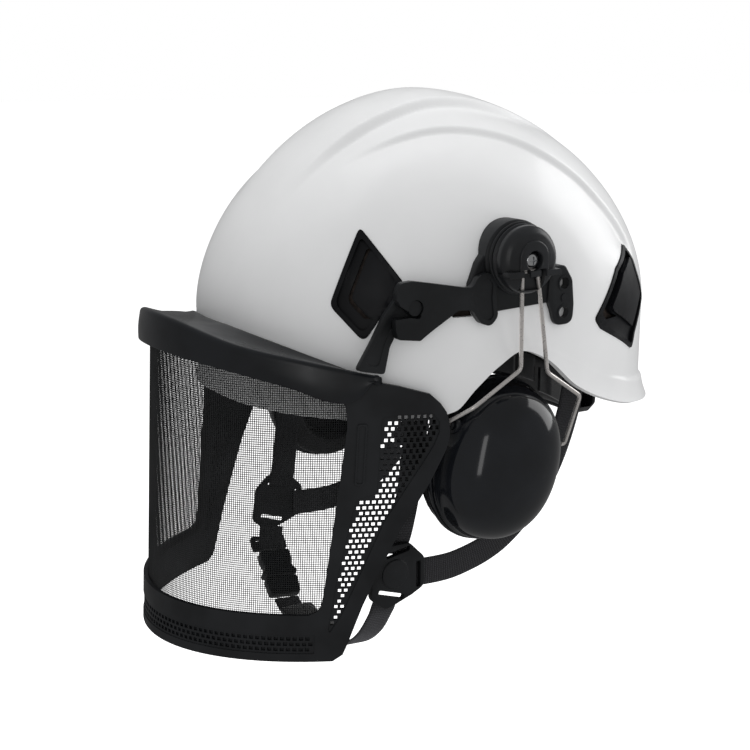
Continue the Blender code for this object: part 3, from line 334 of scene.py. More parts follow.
def thickened(obj, thick, offset=-1.0, even=True):
    mod = obj.modifiers.new("Thickness", "SOLIDIFY")
    mod.thickness = thick * MM
    mod.offset = offset
    mod.use_even_offset = even
    mod.use_quality_normals = True
    return applied(obj)


def slab(name, fn, nu, nv, thick, mat=None, offset=-1.0, outside=(0, 0, 20), even=True):
    """A sheet through fn(u, v), thickened away from its outer side."""
    bm = grid_bm(fn, nu, nv)
    turned_out(bm, outside)
    return thickened(make(name, bm, mat), thick, offset, even)


def smooth_path(path, steps):
    pts = [Vector(p) for p in path]
    ends = [pts[0] * 2 - pts[1]] + pts + [pts[-1] * 2 - pts[-2]]
    result = []
    for i in range(1, len(ends) - 2):
        a, b, c, d = ends[i - 1:i + 3]
        for k in range(steps):
            t = k / steps
            result.append(0.5 * (2 * b + (c - a) * t + (2 * a - 5 * b + 4 * c - d) * t * t
                                 + (3 * b - a - 3 * c + d) * t ** 3))
    result.append(pts[-1])
    return result


def ribbon(name, path, across, width, thick, mat, steps=8):
    """Flat webbing along a smooth path, with a slightly thinner edge and UVs along its run."""
    points = smooth_path(path, steps)
    count = len(points)
    run = [0.0]
    for a, b in zip(points, points[1:]):
        run.append(run[-1] + (b - a).length)
    upper = [(-0.5, 0.25), (-0.47, 0.46), (-0.38, 0.5), (-0.2, 0.5), (0.0, 0.5), (0.2, 0.5), (0.38, 0.5),
             (0.47, 0.46), (0.5, 0.25)]
    cross = upper + [(-a, -b) for a, b in upper]
    bm = bmesh.new()
    layer = bm.loops.layers.uv.new("UVMap")
    rings = []
    for i, point in enumerate(points):
        t = i / (count - 1) * (len(across) - 1)
        k = min(int(t), len(across) - 2)
        side = Vector(across[k]).lerp(Vector(across[k + 1]), smooth(t - k)).normalized()
        ahead = (points[min(i + 1, count - 1)] - points[max(i - 1, 0)]).normalized()
        side = (side - ahead * side.dot(ahead)).normalized()
        up = ahead.cross(side)
        rings.append([bm.verts.new(point + side * (a * width) + up * (b * thick)) for a, b in cross])
    m = len(cross)
    for i in range(count - 1):
        for j in range(m):
            face = bm.faces.new((rings[i][j], rings[i + 1][j], rings[i + 1][(j + 1) % m],
                                 rings[i][(j + 1) % m]))
            across_uv = (cross[j][0], cross[(j + 1) % m][0])
            for loop, (a, b) in zip(face.loops, ((i, 0), (i + 1, 0), (i + 1, 1), (i, 1))):
                loop[layer].uv = (run[a] * MM, across_uv[b] * width * MM)
    for ring in (rings[0], rings[-1]):
        bm.faces.new(ring)
    outward(bm)
    return make(name, bm, mat)


def tube(name, points, radius, mat, bend=2.6, sides=12, resolution=5):
    """Round wire or rod through the points, with rounded bends and flat ends."""
    soft = []
    pts = [Vector(p) for p in points]
    for i, here in enumerate(pts):
        if i in (0, len(pts) - 1):
            soft.append(here)
            continue
        before, after = pts[i - 1] - here, pts[i + 1] - here
        reach = min(bend, before.length * 0.45, after.length * 0.45)
        soft += corner(here + before.normalized() * reach, here, here + after.normalized() * reach,
                       resolution)
    bm = bmesh.new()
    rings = []
    side = None
    for i, point in enumerate(soft):
        ahead = (soft[min(i + 1, len(soft) - 1)] - soft[max(i - 1, 0)]).normalized()
        if side is None:
            side = ahead.orthogonal().normalized()
        side = (side - ahead * side.dot(ahead)).normalized()
        up = ahead.cross(side)
        rings.append([bm.verts.new(point + (side * math.cos(TURN * k / sides)
                                            + up * math.sin(TURN * k / sides)) * radius)
                      for k in range(sides)])
    for a, b in zip(rings, rings[1:]):
        for k in range(sides):
            bm.faces.new((a[k], b[k], b[(k + 1) % sides], a[(k + 1) % sides]))
    bm.faces.new(rings[0])
    bm.faces.new(rings[-1])
    outward(bm)
    return make(name, bm, mat)


def mirrored(obj, name):
    mesh = obj.data.copy()
    mesh.name = name
    bm = bmesh.new()
    bm.from_mesh(mesh)
    for vert in bm.verts:
        vert.co.x = -vert.co.x
    bmesh.ops.reverse_faces(bm, faces=bm.faces)
    bm.to_mesh(mesh)
    bm.free()
    twin = bpy.data.objects.new(name, mesh)
    scene.collection.objects.link(twin)
    return twin


def place(obj, body, slot, *nodes, angle=32, padded=None):
    """Finishes a piece: shading, the body it rides on and the CAD nodes it stands for. Its slot is not used.
    """
    mesh = obj.data
    mesh.polygons.foreach_set("use_smooth", [True] * len(mesh.polygons))
    mesh.set_sharp_from_angle(angle=math.radians(angle))
    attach(obj, body)
    if nodes:
        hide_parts(*nodes)
    return obj


def pair(obj, body, slot, node=None, angle=32, padded=None):
    """Places a left-hand piece and its right-hand twin. A body or node name with %s takes the side."""
    twin = mirrored(obj, obj.name.replace("left", "right"))
    for piece, side in ((obj, "left"), (twin, "right")):
        nodes = [node % side] if node else []
        place(piece, body % side if "%s" in body else body, slot, *nodes, angle=angle, padded=padded)
    return obj, twin


# ================================================================ materials
def nodes_of(name, rgb, rough, metal=0.0, coat=0.0, coat_rough=0.08, specular=0.5, sheen=0.0):
    mat = bpy.data.materials.new(name)
    mat.use_nodes = True
    tree = mat.node_tree
    bsdf = tree.nodes["Principled BSDF"]
    bsdf.inputs["Base Color"].default_value = (*rgb, 1.0)
    bsdf.inputs["Roughness"].default_value = rough
    bsdf.inputs["Metallic"].default_value = metal
    bsdf.inputs["Coat Weight"].default_value = coat
    bsdf.inputs["Coat Roughness"].default_value = coat_rough
    bsdf.inputs["Specular IOR Level"].default_value = specular
    bsdf.inputs["Sheen Weight"].default_value = sheen
    mat.diffuse_color = (*rgb, 1.0)
    return mat, tree, bsdf


def node(tree, kind, **values):
    made = tree.nodes.new(kind)
    for key, value in values.items():
        if key in made.inputs:
            made.inputs[key].default_value = value
        else:
            setattr(made, key, value)
    return made


def noise(tree, source, scale, detail=2.0, roughness=0.5):
    made = node(tree, "ShaderNodeTexNoise", Scale=scale, Detail=detail, Roughness=roughness)
    tree.links.new(source, made.inputs["Vector"])
    return made.outputs["Fac"]


def mapped(tree, value, low, high, to_low, to_high):
    made = node(tree, "ShaderNodeMapRange")
    for key, v in zip(("From Min", "From Max", "To Min", "To Max"), (low, high, to_low, to_high)):
        made.inputs[key].default_value = v
    tree.links.new(value, made.inputs["Value"])
    return made.outputs["Result"]


def blended(tree, fac, first, second):
    made = node(tree, "ShaderNodeMix", data_type="RGBA")
    made.inputs[6].default_value = (*first, 1.0)
    made.inputs[7].default_value = (*second, 1.0)
    tree.links.new(fac, made.inputs["Factor"])
    return made.outputs[2]


def math_node(tree, operation, *values):
    made = node(tree, "ShaderNodeMath", operation=operation)
    for i, value in enumerate(values):
        if isinstance(value, (int, float)):
            made.inputs[i].default_value = value
        else:
            tree.links.new(value, made.inputs[i])
    return made.outputs[0]


def bumped(tree, bsdf, height, strength, distance_mm, under=None):
    made = node(tree, "ShaderNodeBump", Strength=strength, Distance=distance_mm * MM)
    tree.links.new(height, made.inputs["Height"])
    if under is not None:
        tree.links.new(under, made.inputs["Normal"])
    tree.links.new(made.outputs["Normal"], bsdf.inputs["Normal"])
    return made.outputs["Normal"]


def moulded(name, rgb, rough, grain=0.25, grain_mm=0.35, coat=0.0, coat_rough=0.08, vary=0.25, wave=0.0,
            specular=0.5):
    """Moulded plastic: spark-eroded grain, a little unevenness in colour and gloss, and long soft waves."""
    mat, tree, bsdf = nodes_of(name, rgb, rough, coat=coat, coat_rough=coat_rough, specular=specular)
    where = node(tree, "ShaderNodeTexCoord").outputs["Object"]
    broad = noise(tree, where, 38.0, 3.0)
    fine = noise(tree, where, 1000.0 / grain_mm, 2.0)
    light = tuple(min(1.0, c * (1 + vary)) for c in rgb)
    dark = tuple(c * (1 - vary) for c in rgb)
    shade = mapped(tree, broad, 0.35, 0.65, 0.0, 1.0)
    tree.links.new(blended(tree, shade, dark, light), bsdf.inputs["Base Color"])
    worn = mapped(tree, noise(tree, where, 90.0, 4.0), 0.3, 0.7, rough * 0.88, min(1.0, rough * 1.14))
    tree.links.new(worn, bsdf.inputs["Roughness"])
    under = bumped(tree, bsdf, noise(tree, where, 26.0, 1.0), wave, 0.5) if wave else None
    bumped(tree, bsdf, fine, grain, 0.03, under)
    return mat


def woven(name, rgb, thread_mm, rib_mm, rough=0.9, light=1.9):
    """Webbing: cross ribs of rib_mm and threads of thread_mm, laid out along the strap's own UVs, with
    painted shade in the grooves and a painted highlight on the raised threads.
    """
    mat, tree, bsdf = nodes_of(name, rgb, rough, sheen=0.25)
    bsdf.inputs["Sheen Roughness"].default_value = 0.5
    bsdf.inputs["Sheen Tint"].default_value = (0.6, 0.6, 0.65, 1)
    uv = node(tree, "ShaderNodeTexCoord").outputs["UV"]
    split = node(tree, "ShaderNodeSeparateXYZ")
    tree.links.new(uv, split.inputs[0])
    along_u, across_v = split.outputs["X"], split.outputs["Y"]
    rib = math_node(tree, "SINE", math_node(tree, "MULTIPLY", along_u, TURN / (rib_mm * MM)))
    slant = math_node(tree, "ADD", math_node(tree, "MULTIPLY", across_v, TURN / (thread_mm * MM)),
                      math_node(tree, "MULTIPLY", rib, 1.2))
    thread = math_node(tree, "SINE", slant)
    height = math_node(tree, "ADD", math_node(tree, "MULTIPLY", rib, 0.55),
                       math_node(tree, "MULTIPLY", thread, 0.45))
    fuzz = noise(tree, node(tree, "ShaderNodeTexCoord").outputs["Object"], 2600.0, 2.0)
    full = math_node(tree, "ADD", height, math_node(tree, "MULTIPLY", fuzz, 0.5))
    # colour follows the weave's height: painted shade in the low grooves, painted highlight on the raised
    # threads
    shade = mapped(tree, full, -0.8, 1.4, 0.0, 1.0)
    first, second = tuple(c * 0.55 for c in rgb), tuple(c * light for c in rgb)
    tree.links.new(blended(tree, shade, first, second), bsdf.inputs["Base Color"])
    bumped(tree, bsdf, full, 0.8, 0.16)
    return mat


def foamed(name, rgb, cell_mm, rough=0.95, depth_mm=0.25, vary=0.35, sheen=0.0, leathery=False):
    """Foam, knitted fabric or film: small cells that are open, or closed and domed when leathery; the darker
    cell borders are painted shade in the sunk borders of open cells, and a plain tone pattern on the raised
    borders of leathery film.
    """
    mat, tree, bsdf = nodes_of(name, rgb, rough, sheen=sheen)
    where = node(tree, "ShaderNodeTexCoord").outputs["Object"]
    cells = node(tree, "ShaderNodeTexVoronoi", Scale=1000.0 / cell_mm)
    tree.links.new(where, cells.inputs["Vector"])
    distance = cells.outputs["Distance"]
    # darker cell borders: painted shade where the cells are open and their borders sunk; on leathery film the
    # borders are raised and the darker tone is a plain pattern
    shade = mapped(tree, distance, 0.1, 0.75, 0.0, 1.0)
    first, second = tuple(c * (1 + vary) for c in rgb), tuple(c * (1 - vary) for c in rgb)
    tree.links.new(blended(tree, shade, first, second), bsdf.inputs["Base Color"])
    worn = mapped(tree, noise(tree, where, 160.0, 3.0), 0.3, 0.7, rough * 0.85, min(1.0, rough * 1.15))
    tree.links.new(worn, bsdf.inputs["Roughness"])
    bumped(tree, bsdf, math_node(tree, "MULTIPLY", distance, 1.0 if leathery else -1.0), 0.6, depth_mm)
    return mat


def metal(name, rgb, rough, share=1.0):
    """Drawn or plated metal, its gloss broken up a little along the surface."""
    mat, tree, bsdf = nodes_of(name, rgb, rough, metal=share)
    where = node(tree, "ShaderNodeTexCoord").outputs["Object"]
    fine = noise(tree, where, 900.0, 3.0)
    tree.links.new(mapped(tree, fine, 0.3, 0.7, rough * 0.85, rough * 1.2), bsdf.inputs["Roughness"])
    shade = mapped(tree, noise(tree, where, 120.0, 2.0), 0.35, 0.65, 0, 1)
    first, second = tuple(c * 0.93 for c in rgb), tuple(min(1.0, c * 1.08) for c in rgb)
    tree.links.new(blended(tree, shade, first, second), bsdf.inputs["Base Color"])
    bumped(tree, bsdf, fine, 0.06, 0.012)
    return mat


SHELL_WHITE = moulded("shell_white_visual", (0.84, 0.845, 0.85), 0.34, grain=0.04, grain_mm=0.8, coat=0.35,
                      coat_rough=0.16,
                      vary=0.012, wave=0.015)
VENT_BLACK = moulded("vent_black_visual", (0.006, 0.0065, 0.008), 0.42, grain=0.25, grain_mm=0.5,
                     specular=0.22)
BRACKET_BLACK = moulded("bracket_black_visual", (0.011, 0.012, 0.0135), 0.44, grain=0.22, grain_mm=0.45,
                        specular=0.4)
HUB_BLACK = moulded("hub_black_visual", (0.014, 0.015, 0.017), 0.33, grain=0.12, grain_mm=0.5)
GUARD_BLACK = moulded("guard_black_visual", (0.008, 0.009, 0.011), 0.3, grain=0.12, grain_mm=0.5,
                      specular=0.45)
FRAME_BLACK = moulded("frame_black_visual", (0.012, 0.013, 0.015), 0.48, grain=0.25, grain_mm=0.4,
                      specular=0.35)
GLOSS_BLACK = moulded("gloss_black_visual", (0.007, 0.008, 0.010), 0.12, grain=0.02, grain_mm=0.7, coat=0.25,
                      coat_rough=0.04, wave=0.02)
BAND_BLACK = moulded("band_black_visual", (0.010, 0.0105, 0.012), 0.24, grain=0.08, grain_mm=0.6)
LINER_FOAM = foamed("liner_foam_visual", (0.045, 0.033, 0.027), 2.6, rough=0.85, depth_mm=0.12)
WEBBING = woven("webbing_visual", (0.013, 0.013, 0.0145), 1.1, 1.5)
CRADLE_WEB = woven("cradle_web_visual", (0.016, 0.016, 0.018), 1.3, 1.2)
PAD_FABRIC = foamed("pad_fabric_visual", (0.02, 0.02, 0.022), 0.9, rough=0.95, depth_mm=0.12, vary=0.5,
                    sheen=0.4)
CUSHION_FILM = foamed("cushion_film_visual", (0.012, 0.012, 0.013), 1.4, rough=0.42, depth_mm=0.05, vary=0.2,
                      leathery=True)
FOAM_GREY = foamed("foam_grey_visual", (0.05, 0.05, 0.052), 1.3, rough=1.0, depth_mm=0.5, vary=0.6)
STEEL = metal("steel_wire_visual", (0.88, 0.84, 0.81), 0.3, share=0.82)
SCREW_STEEL = metal("screw_steel_visual", (0.78, 0.79, 0.80), 0.16)
SCREEN = moulded("screen_mesh_visual", (0.014, 0.015, 0.016), 0.4, grain=0.1, grain_mm=0.2)


# ================================================================ shell
def plan_point(deg, grow=0.0, share=1.0):
    c, s = math.cos(math.radians(deg)), math.sin(math.radians(deg))
    length = (SHELL_FRONT if c > 0 else SHELL_REAR) + grow
    return (SHELL_SIDE + grow) * share * power(s, 2 / PLAN_POWER), -length * share * power(c, 2 / PLAN_POWER)


def azimuth(x, y):
    return abs(math.degrees(math.atan2(x, -y)))


def shell_point(deg, v, grow, rims, lip=True, dome_share=0.72):
    c = math.cos(math.radians(deg))
    n = lerp(PROFILE_REAR, PROFILE_FRONT, 0.5 + 0.5 * c) + PROFILE_SIDE_MORE * (1 - c * c) ** 2
    rim = rims if isinstance(rims, float) else table(rims, azimuth(*plan_point(deg)))
    top = SHELL_CROWN_Z + grow - SHELL_EQUATOR_Z
    if v < dome_share:
        psi = v / dome_share * math.pi / 2
        share = math.sin(psi) ** (2 / n)
        z = SHELL_EQUATOR_Z + top * max(math.cos(psi), 0) ** (2 / n)
    else:
        share = 1.0
        z = lerp(SHELL_EQUATOR_Z, rim, (v - dome_share) / (1 - dome_share))
    x, y = plan_point(deg, grow, share)
    if lip and z < rim + LIP_HEIGHT:
        t = 1 - (z - rim) / LIP_HEIGHT
        out = lerp(LIP_OUT_SIDE, LIP_OUT_REAR, max(0.0, -c)) * t * t
        scale = 1 + out / math.hypot(x, y)
        x, y = x * scale, y * scale
    return Vector((x, y, z))


# style lines: half-width of the raised centre band and of the outer step, by y
CREASE_INNER = ((-104, 24.0), (-97, 25.2), (-55, 27.5), (-27, 30.5), (2, 31.5), (40, 31.0), (80, 28.0))
CREASE_OUTER = ((-80, 36.0), (-68, 41.5), (-40, 50.5), (-16, 57.0), (17, 64.5), (41, 69.9), (62, 73.5),
                (81, 76.5), (100, 76.5))
SIDE_STEP = ((40, 58.0), (60, 53.0), (90, 50.2), (107, 43.0), (120, 32.6), (135, 22.0), (150, 15.0))
LIP_LINE = ((78, 33.5), (92, 31.0), (107, 19.5), (125, 3.0), (142, -6.0), (160, -9.5), (180, -10.5))


# the inner and outer crease: depth, width of the slope and run of the recovery
INNER_DROP, INNER_SLOPE, INNER_RECOVER = 4.2, 5.2, 36
OUTER_DROP, OUTER_SLOPE, OUTER_RECOVER = 2.6, 3.2, 28
STEP_OUT, LIP_LINE_OUT = 1.3, 1.6


def trough(distance, width, recover):
    """A straight slope down to 1 at the step's foot, with a sharp lower edge, then a long way back to 0."""
    slope = min(1.0, max(0.0, distance / width))
    return (0.25 * smooth(slope) + 0.75 * slope) * (1 - smooth((distance - width) / recover))


def style_offset(p):
    x, y, z = abs(p.x), p.y, p.z
    offset = 0.0
    if z > 60:
        amount = smooth((y + 104) / 50) * (1 - smooth((y - 20) / 75))
        offset -= INNER_DROP * amount * trough(x - table(CREASE_INNER, y), INNER_SLOPE, INNER_RECOVER)
        amount = smooth((y + 78) / 44) * (1 - smooth((y - 96) / 20)) * smooth((z - 62) / 14)
        offset -= OUTER_DROP * amount * trough(x - table(CREASE_OUTER, y), OUTER_SLOPE, OUTER_RECOVER)
    deg = azimuth(p.x, y)
    # both steps stay low where the muff wires pass
    beside_wires = 1 - 0.9 * (1 - smooth((abs(deg - 102) - 20) / 12))
    if 38 < deg < 150 and z < 64:
        amount = smooth((deg - 40) / 22) * (1 - smooth((deg - 128) / 20))
        below = table(SIDE_STEP, deg) - z
        offset += STEP_OUT * beside_wires * amount * smooth(below / 3.2) * (1 - smooth((below - 6) / 34))
    if deg > 76:
        below = table(LIP_LINE, deg) - z
        offset += LIP_LINE_OUT * beside_wires * smooth((deg - 78) / 16) * smooth(below / 2.6)
    return offset


def styled(bm):
    bm.normal_update()
    moves = [(vert, vert.normal * style_offset(vert.co)) for vert in bm.verts]
    for vert, move in moves:
        vert.co += move
    bm.normal_update()


def shell_slab(name, grow, thick, rims, mat, nu, nv, lip=True, styling=True):
    bm = grid_bm(lambda u, v: shell_point(360 * u, v, grow, rims, lip), nu, nv)
    turned_out(bm, (0, 0, 20))
    if styling:
        styled(bm)
    return thickened(make(name, bm, mat), thick)


def facing_frame(points):
    centre = sum((Vector(p) for p in points), Vector()) / len(points)
    normal = Vector()
    for a, b in zip(points, points[1:] + points[:1]):
        normal += (Vector(a) - centre).cross(Vector(b) - centre)
    normal.normalize()
    if normal.x < 0:
        normal.negate()
    up = (Z - normal * normal.z).normalized()
    return centre, up.cross(normal).normalized(), up, normal


VENT_FRONT = [(72.5, -76, 91), (94.4, -62.8, 64), (88.4, -82.9, 35), (75.6, -95.5, 53)]
VENT_REAR = [(79.2, 95.3, 73), (79.5, 103.6, 57), (73.0, 115.0, 39), (88.9, 94, 13), (103.2, 59.6, 30.6),
             (104.5, 54.7, 36.3), (93.9, 75.9, 61.7)]


def grown(outline, amount):
    """Outline moved outwards (or inwards) edge by edge."""
    count = len(outline)
    area = sum(outline[i - 1][0] * outline[i][1] - outline[i][0] * outline[i - 1][1] for i in range(count))
    sign = -1 if area > 0 else 1
    result = []
    for i in range(count):
        a, b, c = Vector(outline[i - 1]), Vector(outline[i]), Vector(outline[(i + 1) % count])
        first, second = (b - a).normalized(), (c - b).normalized()
        n1, n2 = Vector((-first.y, first.x)) * sign, Vector((-second.y, second.x)) * sign
        middle = (n1 + n2)
        middle = middle / max(middle.dot(n1), 0.25)
        result.append(tuple(b + middle * amount))
    return result


shell_cutters = []


def vent(label, points, radius, panel_pull, panel_to, slot_open, closed_share):
    """Black vent: a border, a sunk floor, a raised panel pulled to one corner, and the slot beside it."""
    centre, side, up, normal = facing_frame(points)

    def on(u, v, w):
        return centre + side * u + up * v + normal * w

    base = [((Vector(p) - centre).dot(side), (Vector(p) - centre).dot(up)) for p in points]
    shell_cutters.append(prism("hole", rounded(grown(base, 0.35), radius), on, -22, 22))
    shell_cutters.append(mirrored(shell_cutters[-1], "hole_right"))
    thick = SHELL_WALL + 2 * VENT_PROUD - 0.2
    insert = shell_slab("vent_%s_left" % label, VENT_PROUD, thick, SHELL_RIM, VENT_BLACK, 220, 70)
    cut(insert, rounded(base, radius), on, -22, 22, "INTERSECT")
    # sunk floor inside the border
    inner = grown(base, -2.3)
    floor = shell_slab("floor", 6.0, 7.4, SHELL_RIM, None, 200, 60)
    cut(floor, rounded(inner, radius), on, -22, 22, "INTERSECT")
    combine(insert, floor)
    # open slot along the far and lower edges
    anchor = Vector(inner[panel_to[0]]).lerp(Vector(inner[panel_to[1]]), panel_to[2])
    panel = [tuple(Vector(p).lerp(anchor, panel_pull)) for p in inner]
    slot_edge = [tuple(Vector(p).lerp(anchor, slot_open)) for p in inner]
    slot = prism("slot", rounded(slot_edge, radius), on, -30, 24)
    kept = prism("kept", rounded(grown(panel, 0.5), radius), on, -34, 34)
    combine(slot, kept)
    lower = min(p[1] for p in inner)
    lowest = lower + closed_share * (max(p[1] for p in inner) - lower)
    keep_band = box("band", (-60, lowest, -60), (60, 200, 60))
    matrix = Matrix((side, up, normal)).transposed().to_4x4()
    for vert in keep_band.data.vertices:
        vert.co = (centre + matrix.to_3x3() @ (vert.co / MM)) * MM
    combine(slot, keep_band, "INTERSECT")
    combine(insert, slot)
    raised = shell_slab("raised", VENT_PROUD - 0.35, 2.6, SHELL_RIM, VENT_BLACK, 220, 70)
    cut(raised, rounded(panel, 1.6), on, -22, 22, "INTERSECT")
    combine(insert, raised, "UNION")
    bevelled(insert, 0.3, 2, 40)
    pair(insert, "helmet", "vent_black", "vent_insert_%s_%%s" % label)


vent("front", VENT_FRONT, (2, 4, 4, 6), 0.27, (1, 2, 0.0), 0.19, 0.16)
vent("rear", VENT_REAR, (3, 2, 4, 3, 4, 3, 2), 0.26, (1, 2, 0.2), 0.12, 0.34)

accessory_slot = prism("slot", [(-45, 52), (-31, 52), (-29, 46.5), (-41, 46.5)], along_x, 98, 120)
shell_cutters += [accessory_slot, mirrored(accessory_slot, "slot_right")]
shell = shell_slab("shell_visual", 0.0, SHELL_WALL, SHELL_RIM, SHELL_WHITE, 520, 170)
combine(shell, joined("cutters", shell_cutters))
place(shell, "helmet", "shell_white", "shell", angle=60)


# liner: foam with sunk channels
def liner_point(u, v):
    return shell_point(360 * u, v, LINER_OFFSET, LINER_RIM, False)


bm = grid_bm(liner_point, 160, 44)
turned_out(bm, (0, 0, 20))
liner = make("liner_visual", bm, LINER_FOAM)
thickened(liner, LINER_THICK)
channels = []
for deg in (-90, -54, 0, 54, 90, 126, 180, -126):
    a = math.radians(deg)
    direction = Vector((math.sin(a), -math.cos(a), 0))
    sideways = direction.cross(Z)
    wedge = prism("channel", [(30, 62), (140, 62), (140, 95), (30, 125)],
                  lambda u, v, w: direction * u * 0.62 + Z * v * 0.98 + sideways * w, -5, 5)
    inner_cut = shell_slab("inner_cut", LINER_OFFSET - LINER_THICK + 5.0, 30, LINER_RIM, None, 120, 40,
                           lip=False, styling=False)
    combine(wedge, inner_cut, "INTERSECT")
    channels.append(wedge)
combine(liner, joined("channels", channels))
place(liner, "helmet", "liner_foam", "liner", angle=45)


# ================================================================ head side
def band_point(deg, z, grow=0.0):
    a = math.radians(deg)
    return Vector(((BAND_SIDE + grow) * math.sin(a), -(BAND_LENGTH + grow) * math.cos(a), z))


def band_drop(deg):
    t = min(1.0, max(0.0, (abs(deg) - 80) / 80))
    return -BAND_DROP * t * t * (3 - 2 * t)


def band_edges(deg):
    t = min(1.0, max(0.0, (abs(deg) - 45) / 25))
    return BAND_Z[0] + 8.5 * t, BAND_Z[1] - 1.0 * t


def headband_point(u, v):
    deg = lerp(-BAND_END_DEG, BAND_END_DEG, u)
    low, high = band_edges(deg)
    return band_point(deg, lerp(low, high, v) + band_drop(deg))


headband = slab("headband_visual", headband_point, 160, 10, BAND_THICK, BAND_BLACK)
slots = []
for deg in list(range(-102, -66, 9)) + [-36, 36] + list(range(75, 111, 9)) + [-8, 8]:
    low, high = band_edges(deg)
    middle = band_point(deg, (low + high) / 2 + band_drop(deg))
    tangent = (band_point(deg + 1, 0) - band_point(deg - 1, 0)).normalized()
    normal = tangent.cross(Z)
    half = (6.5, 1.6) if abs(deg) > 60 else (9.5, 1.5)
    outline = rounded(rect(-half[0], -half[1], half[0], half[1]), 1.3, 3)
    long_way, short_way = (tangent, Z) if abs(deg) < 60 else (Z, tangent)
    slots.append(prism("slot", outline, lambda u, v, w: middle + long_way * u + short_way * v + normal * w,
                       -6, 6))
combine(headband, joined("slots", slots))
bevelled(headband, 0.4, 2, 45)
place(headband, "helmet", "band_black", "headband")


def stuffed(obj, voxel, pressure, cap, frames=16, levels=1):
    """Remeshes a closed form and swells it with cloth pressure, moving no point further than cap (all mm)."""
    mod = obj.modifiers.new("Remesh", "REMESH")
    mod.mode = "VOXEL"
    mod.voxel_size = voxel * MM
    mod.use_smooth_shade = True
    applied(obj)
    before = [v.co.copy() for v in obj.data.vertices]
    cloth = obj.modifiers.new("Cloth", "CLOTH")
    settings = cloth.settings
    settings.quality = 4
    settings.mass = 0.15
    settings.use_pressure = True
    settings.uniform_pressure_force = pressure
    settings.tension_stiffness = 30
    settings.compression_stiffness = 30
    settings.shear_stiffness = 12
    settings.bending_stiffness = 0.8
    settings.effector_weights.gravity = 0.0
    cloth.collision_settings.use_collision = False
    cloth.point_cache.frame_start = 1
    cloth.point_cache.frame_end = frames
    for number in range(1, frames + 1):
        scene.frame_set(number)
    graph = bpy.context.evaluated_depsgraph_get()
    result = obj.evaluated_get(graph).to_mesh()
    after = [v.co.copy() for v in result.vertices]
    obj.evaluated_get(graph).to_mesh_clear()
    obj.modifiers.clear()
    scene.frame_set(1)
    for vert, a, b in zip(obj.data.vertices, before, after):
        move = b - a
        if move.length > cap * MM:
            move = move.normalized() * cap * MM
        vert.co = a + move
    if levels:
        mod = obj.modifiers.new("Subdivide", "SUBSURF")
        mod.levels = levels
        mod.render_levels = levels
        applied(obj)
    return obj


# padded brow band: quilted by a sewn line along its middle
def brow_pad_shape(u, v):
    deg = lerp(-PAD_END_DEG + 1, PAD_END_DEG - 1, u)
    ends = 1 - 0.28 * smooth((abs(deg) - 52) / 14)
    return band_point(deg, 15.5 + (v - 0.5) * 29.5 * ends, -BAND_THICK - 0.9)


brow_pad = slab("brow_pad_visual", brow_pad_shape, 70, 12, PAD_THICK - 1.6, PAD_FABRIC)
stuffed(brow_pad, 1.7, 6.0, 0.7)


def press_line(obj, height_of, half, depth, towards):
    """Sinks a sewn channel into a pad where height_of(point) is near zero."""
    for vert in obj.data.vertices:
        p = vert.co / MM
        d = abs(height_of(p)) / half
        if d < 1:
            vert.co += towards(p) * (depth * MM * (1 - smooth(d)))


def outward_from_head(p):
    inner_side = (p.x / 76.0) ** 2 + (p.y / 96.0) ** 2 < 1
    return Vector((p.x / 6.4, p.y / 8.0, 0)).normalized() * (1 if inner_side else 0)


press_line(brow_pad, lambda p: p.z - 15.5, 2.4, 0.9, outward_from_head)
place(brow_pad, "helmet", "pad_fabric", "brow_pad", padded=0.5, angle=80)


def cradle(cad, degrees, top, front_low, rear_low):
    """Head cradle strap: one webbing arch with a clip at each end."""
    name = cad + "_visual"
    path = []
    for k in range(25):
        a = math.pi * k / 24
        low = front_low if k < 12 else rear_low
        reach = math.cos(a)
        deg = degrees if reach > 0 else degrees + 180
        share = abs(reach) ** (2 / 2.3)
        p = band_point(deg, 0, 3.0)
        path.append((p.x * share, p.y * share, low + (top - low) * math.sin(a) ** (2 / 2.3)))
    p = band_point(degrees, 0)
    side = Vector((-p.y, p.x, 0)).normalized()
    strap = ribbon(name, path, (side, side), CRADLE_WIDTH, 1.2, CRADLE_WEB, steps=3)
    clips = []
    for end in (0, -1):
        p, q = Vector(path[end]), Vector(path[1 if end == 0 else -2])
        down = (p - q).normalized()
        out = side.cross(down).normalized()
        outline = rounded([(-11, -9), (11, -9), (11, 6), (6, 9), (-6, 9), (-11, 6)], 2.5, 4)
        clip = prism("%s_clip_%d" % (name, -end), outline,
                     lambda u, v, w: p + side * u - down * (v + 4) + out * w, -1.5, 1.5, BAND_BLACK)
        clips.append(bevelled(clip, 0.5))
    place(strap, "helmet", "webbing", cad)
    for clip in clips:
        place(clip, "helmet", "band_black")


for side, sign in SIDES:
    cradle("cradle_strap_%s" % side, sign * 36.0, CRADLE_TOP_Z - (0 if sign > 0 else 2.6), 18.0, 6.0)

# nape yoke, its arms, and the housing round racks and pinion
outline = rounded([(-NAPE_HALF_WIDTH, -10), (-NAPE_HALF_WIDTH + 7, -NAPE_HALF_HEIGHT),
                   (NAPE_HALF_WIDTH - 7, -NAPE_HALF_HEIGHT), (NAPE_HALF_WIDTH, -10), (NAPE_HALF_WIDTH, 10),
                   (NAPE_HALF_WIDTH - 7, NAPE_HALF_HEIGHT), (-NAPE_HALF_WIDTH + 7, NAPE_HALF_HEIGHT),
                   (-NAPE_HALF_WIDTH, 10)], 5)
yoke = prism("nape_yoke_visual", outline, at_knob, NAPE_Y[0], NAPE_Y[1], BAND_BLACK)
bevelled(yoke, 1.6, 4, 50)
for sign in (-1, 1):
    path = [(sign * 24.5, 109, KNOB_Z + 10), (sign * 30.5, 109, 4), (sign * 38.6, 106.5, 28),
            (sign * 47, 100.5, 50)]
    arm = ribbon("arm", path, ((1, 0, 0), (1, sign * 0.35, 0)), 10.6, 2.4, BAND_BLACK, 10)
    combine(yoke, arm, "UNION")
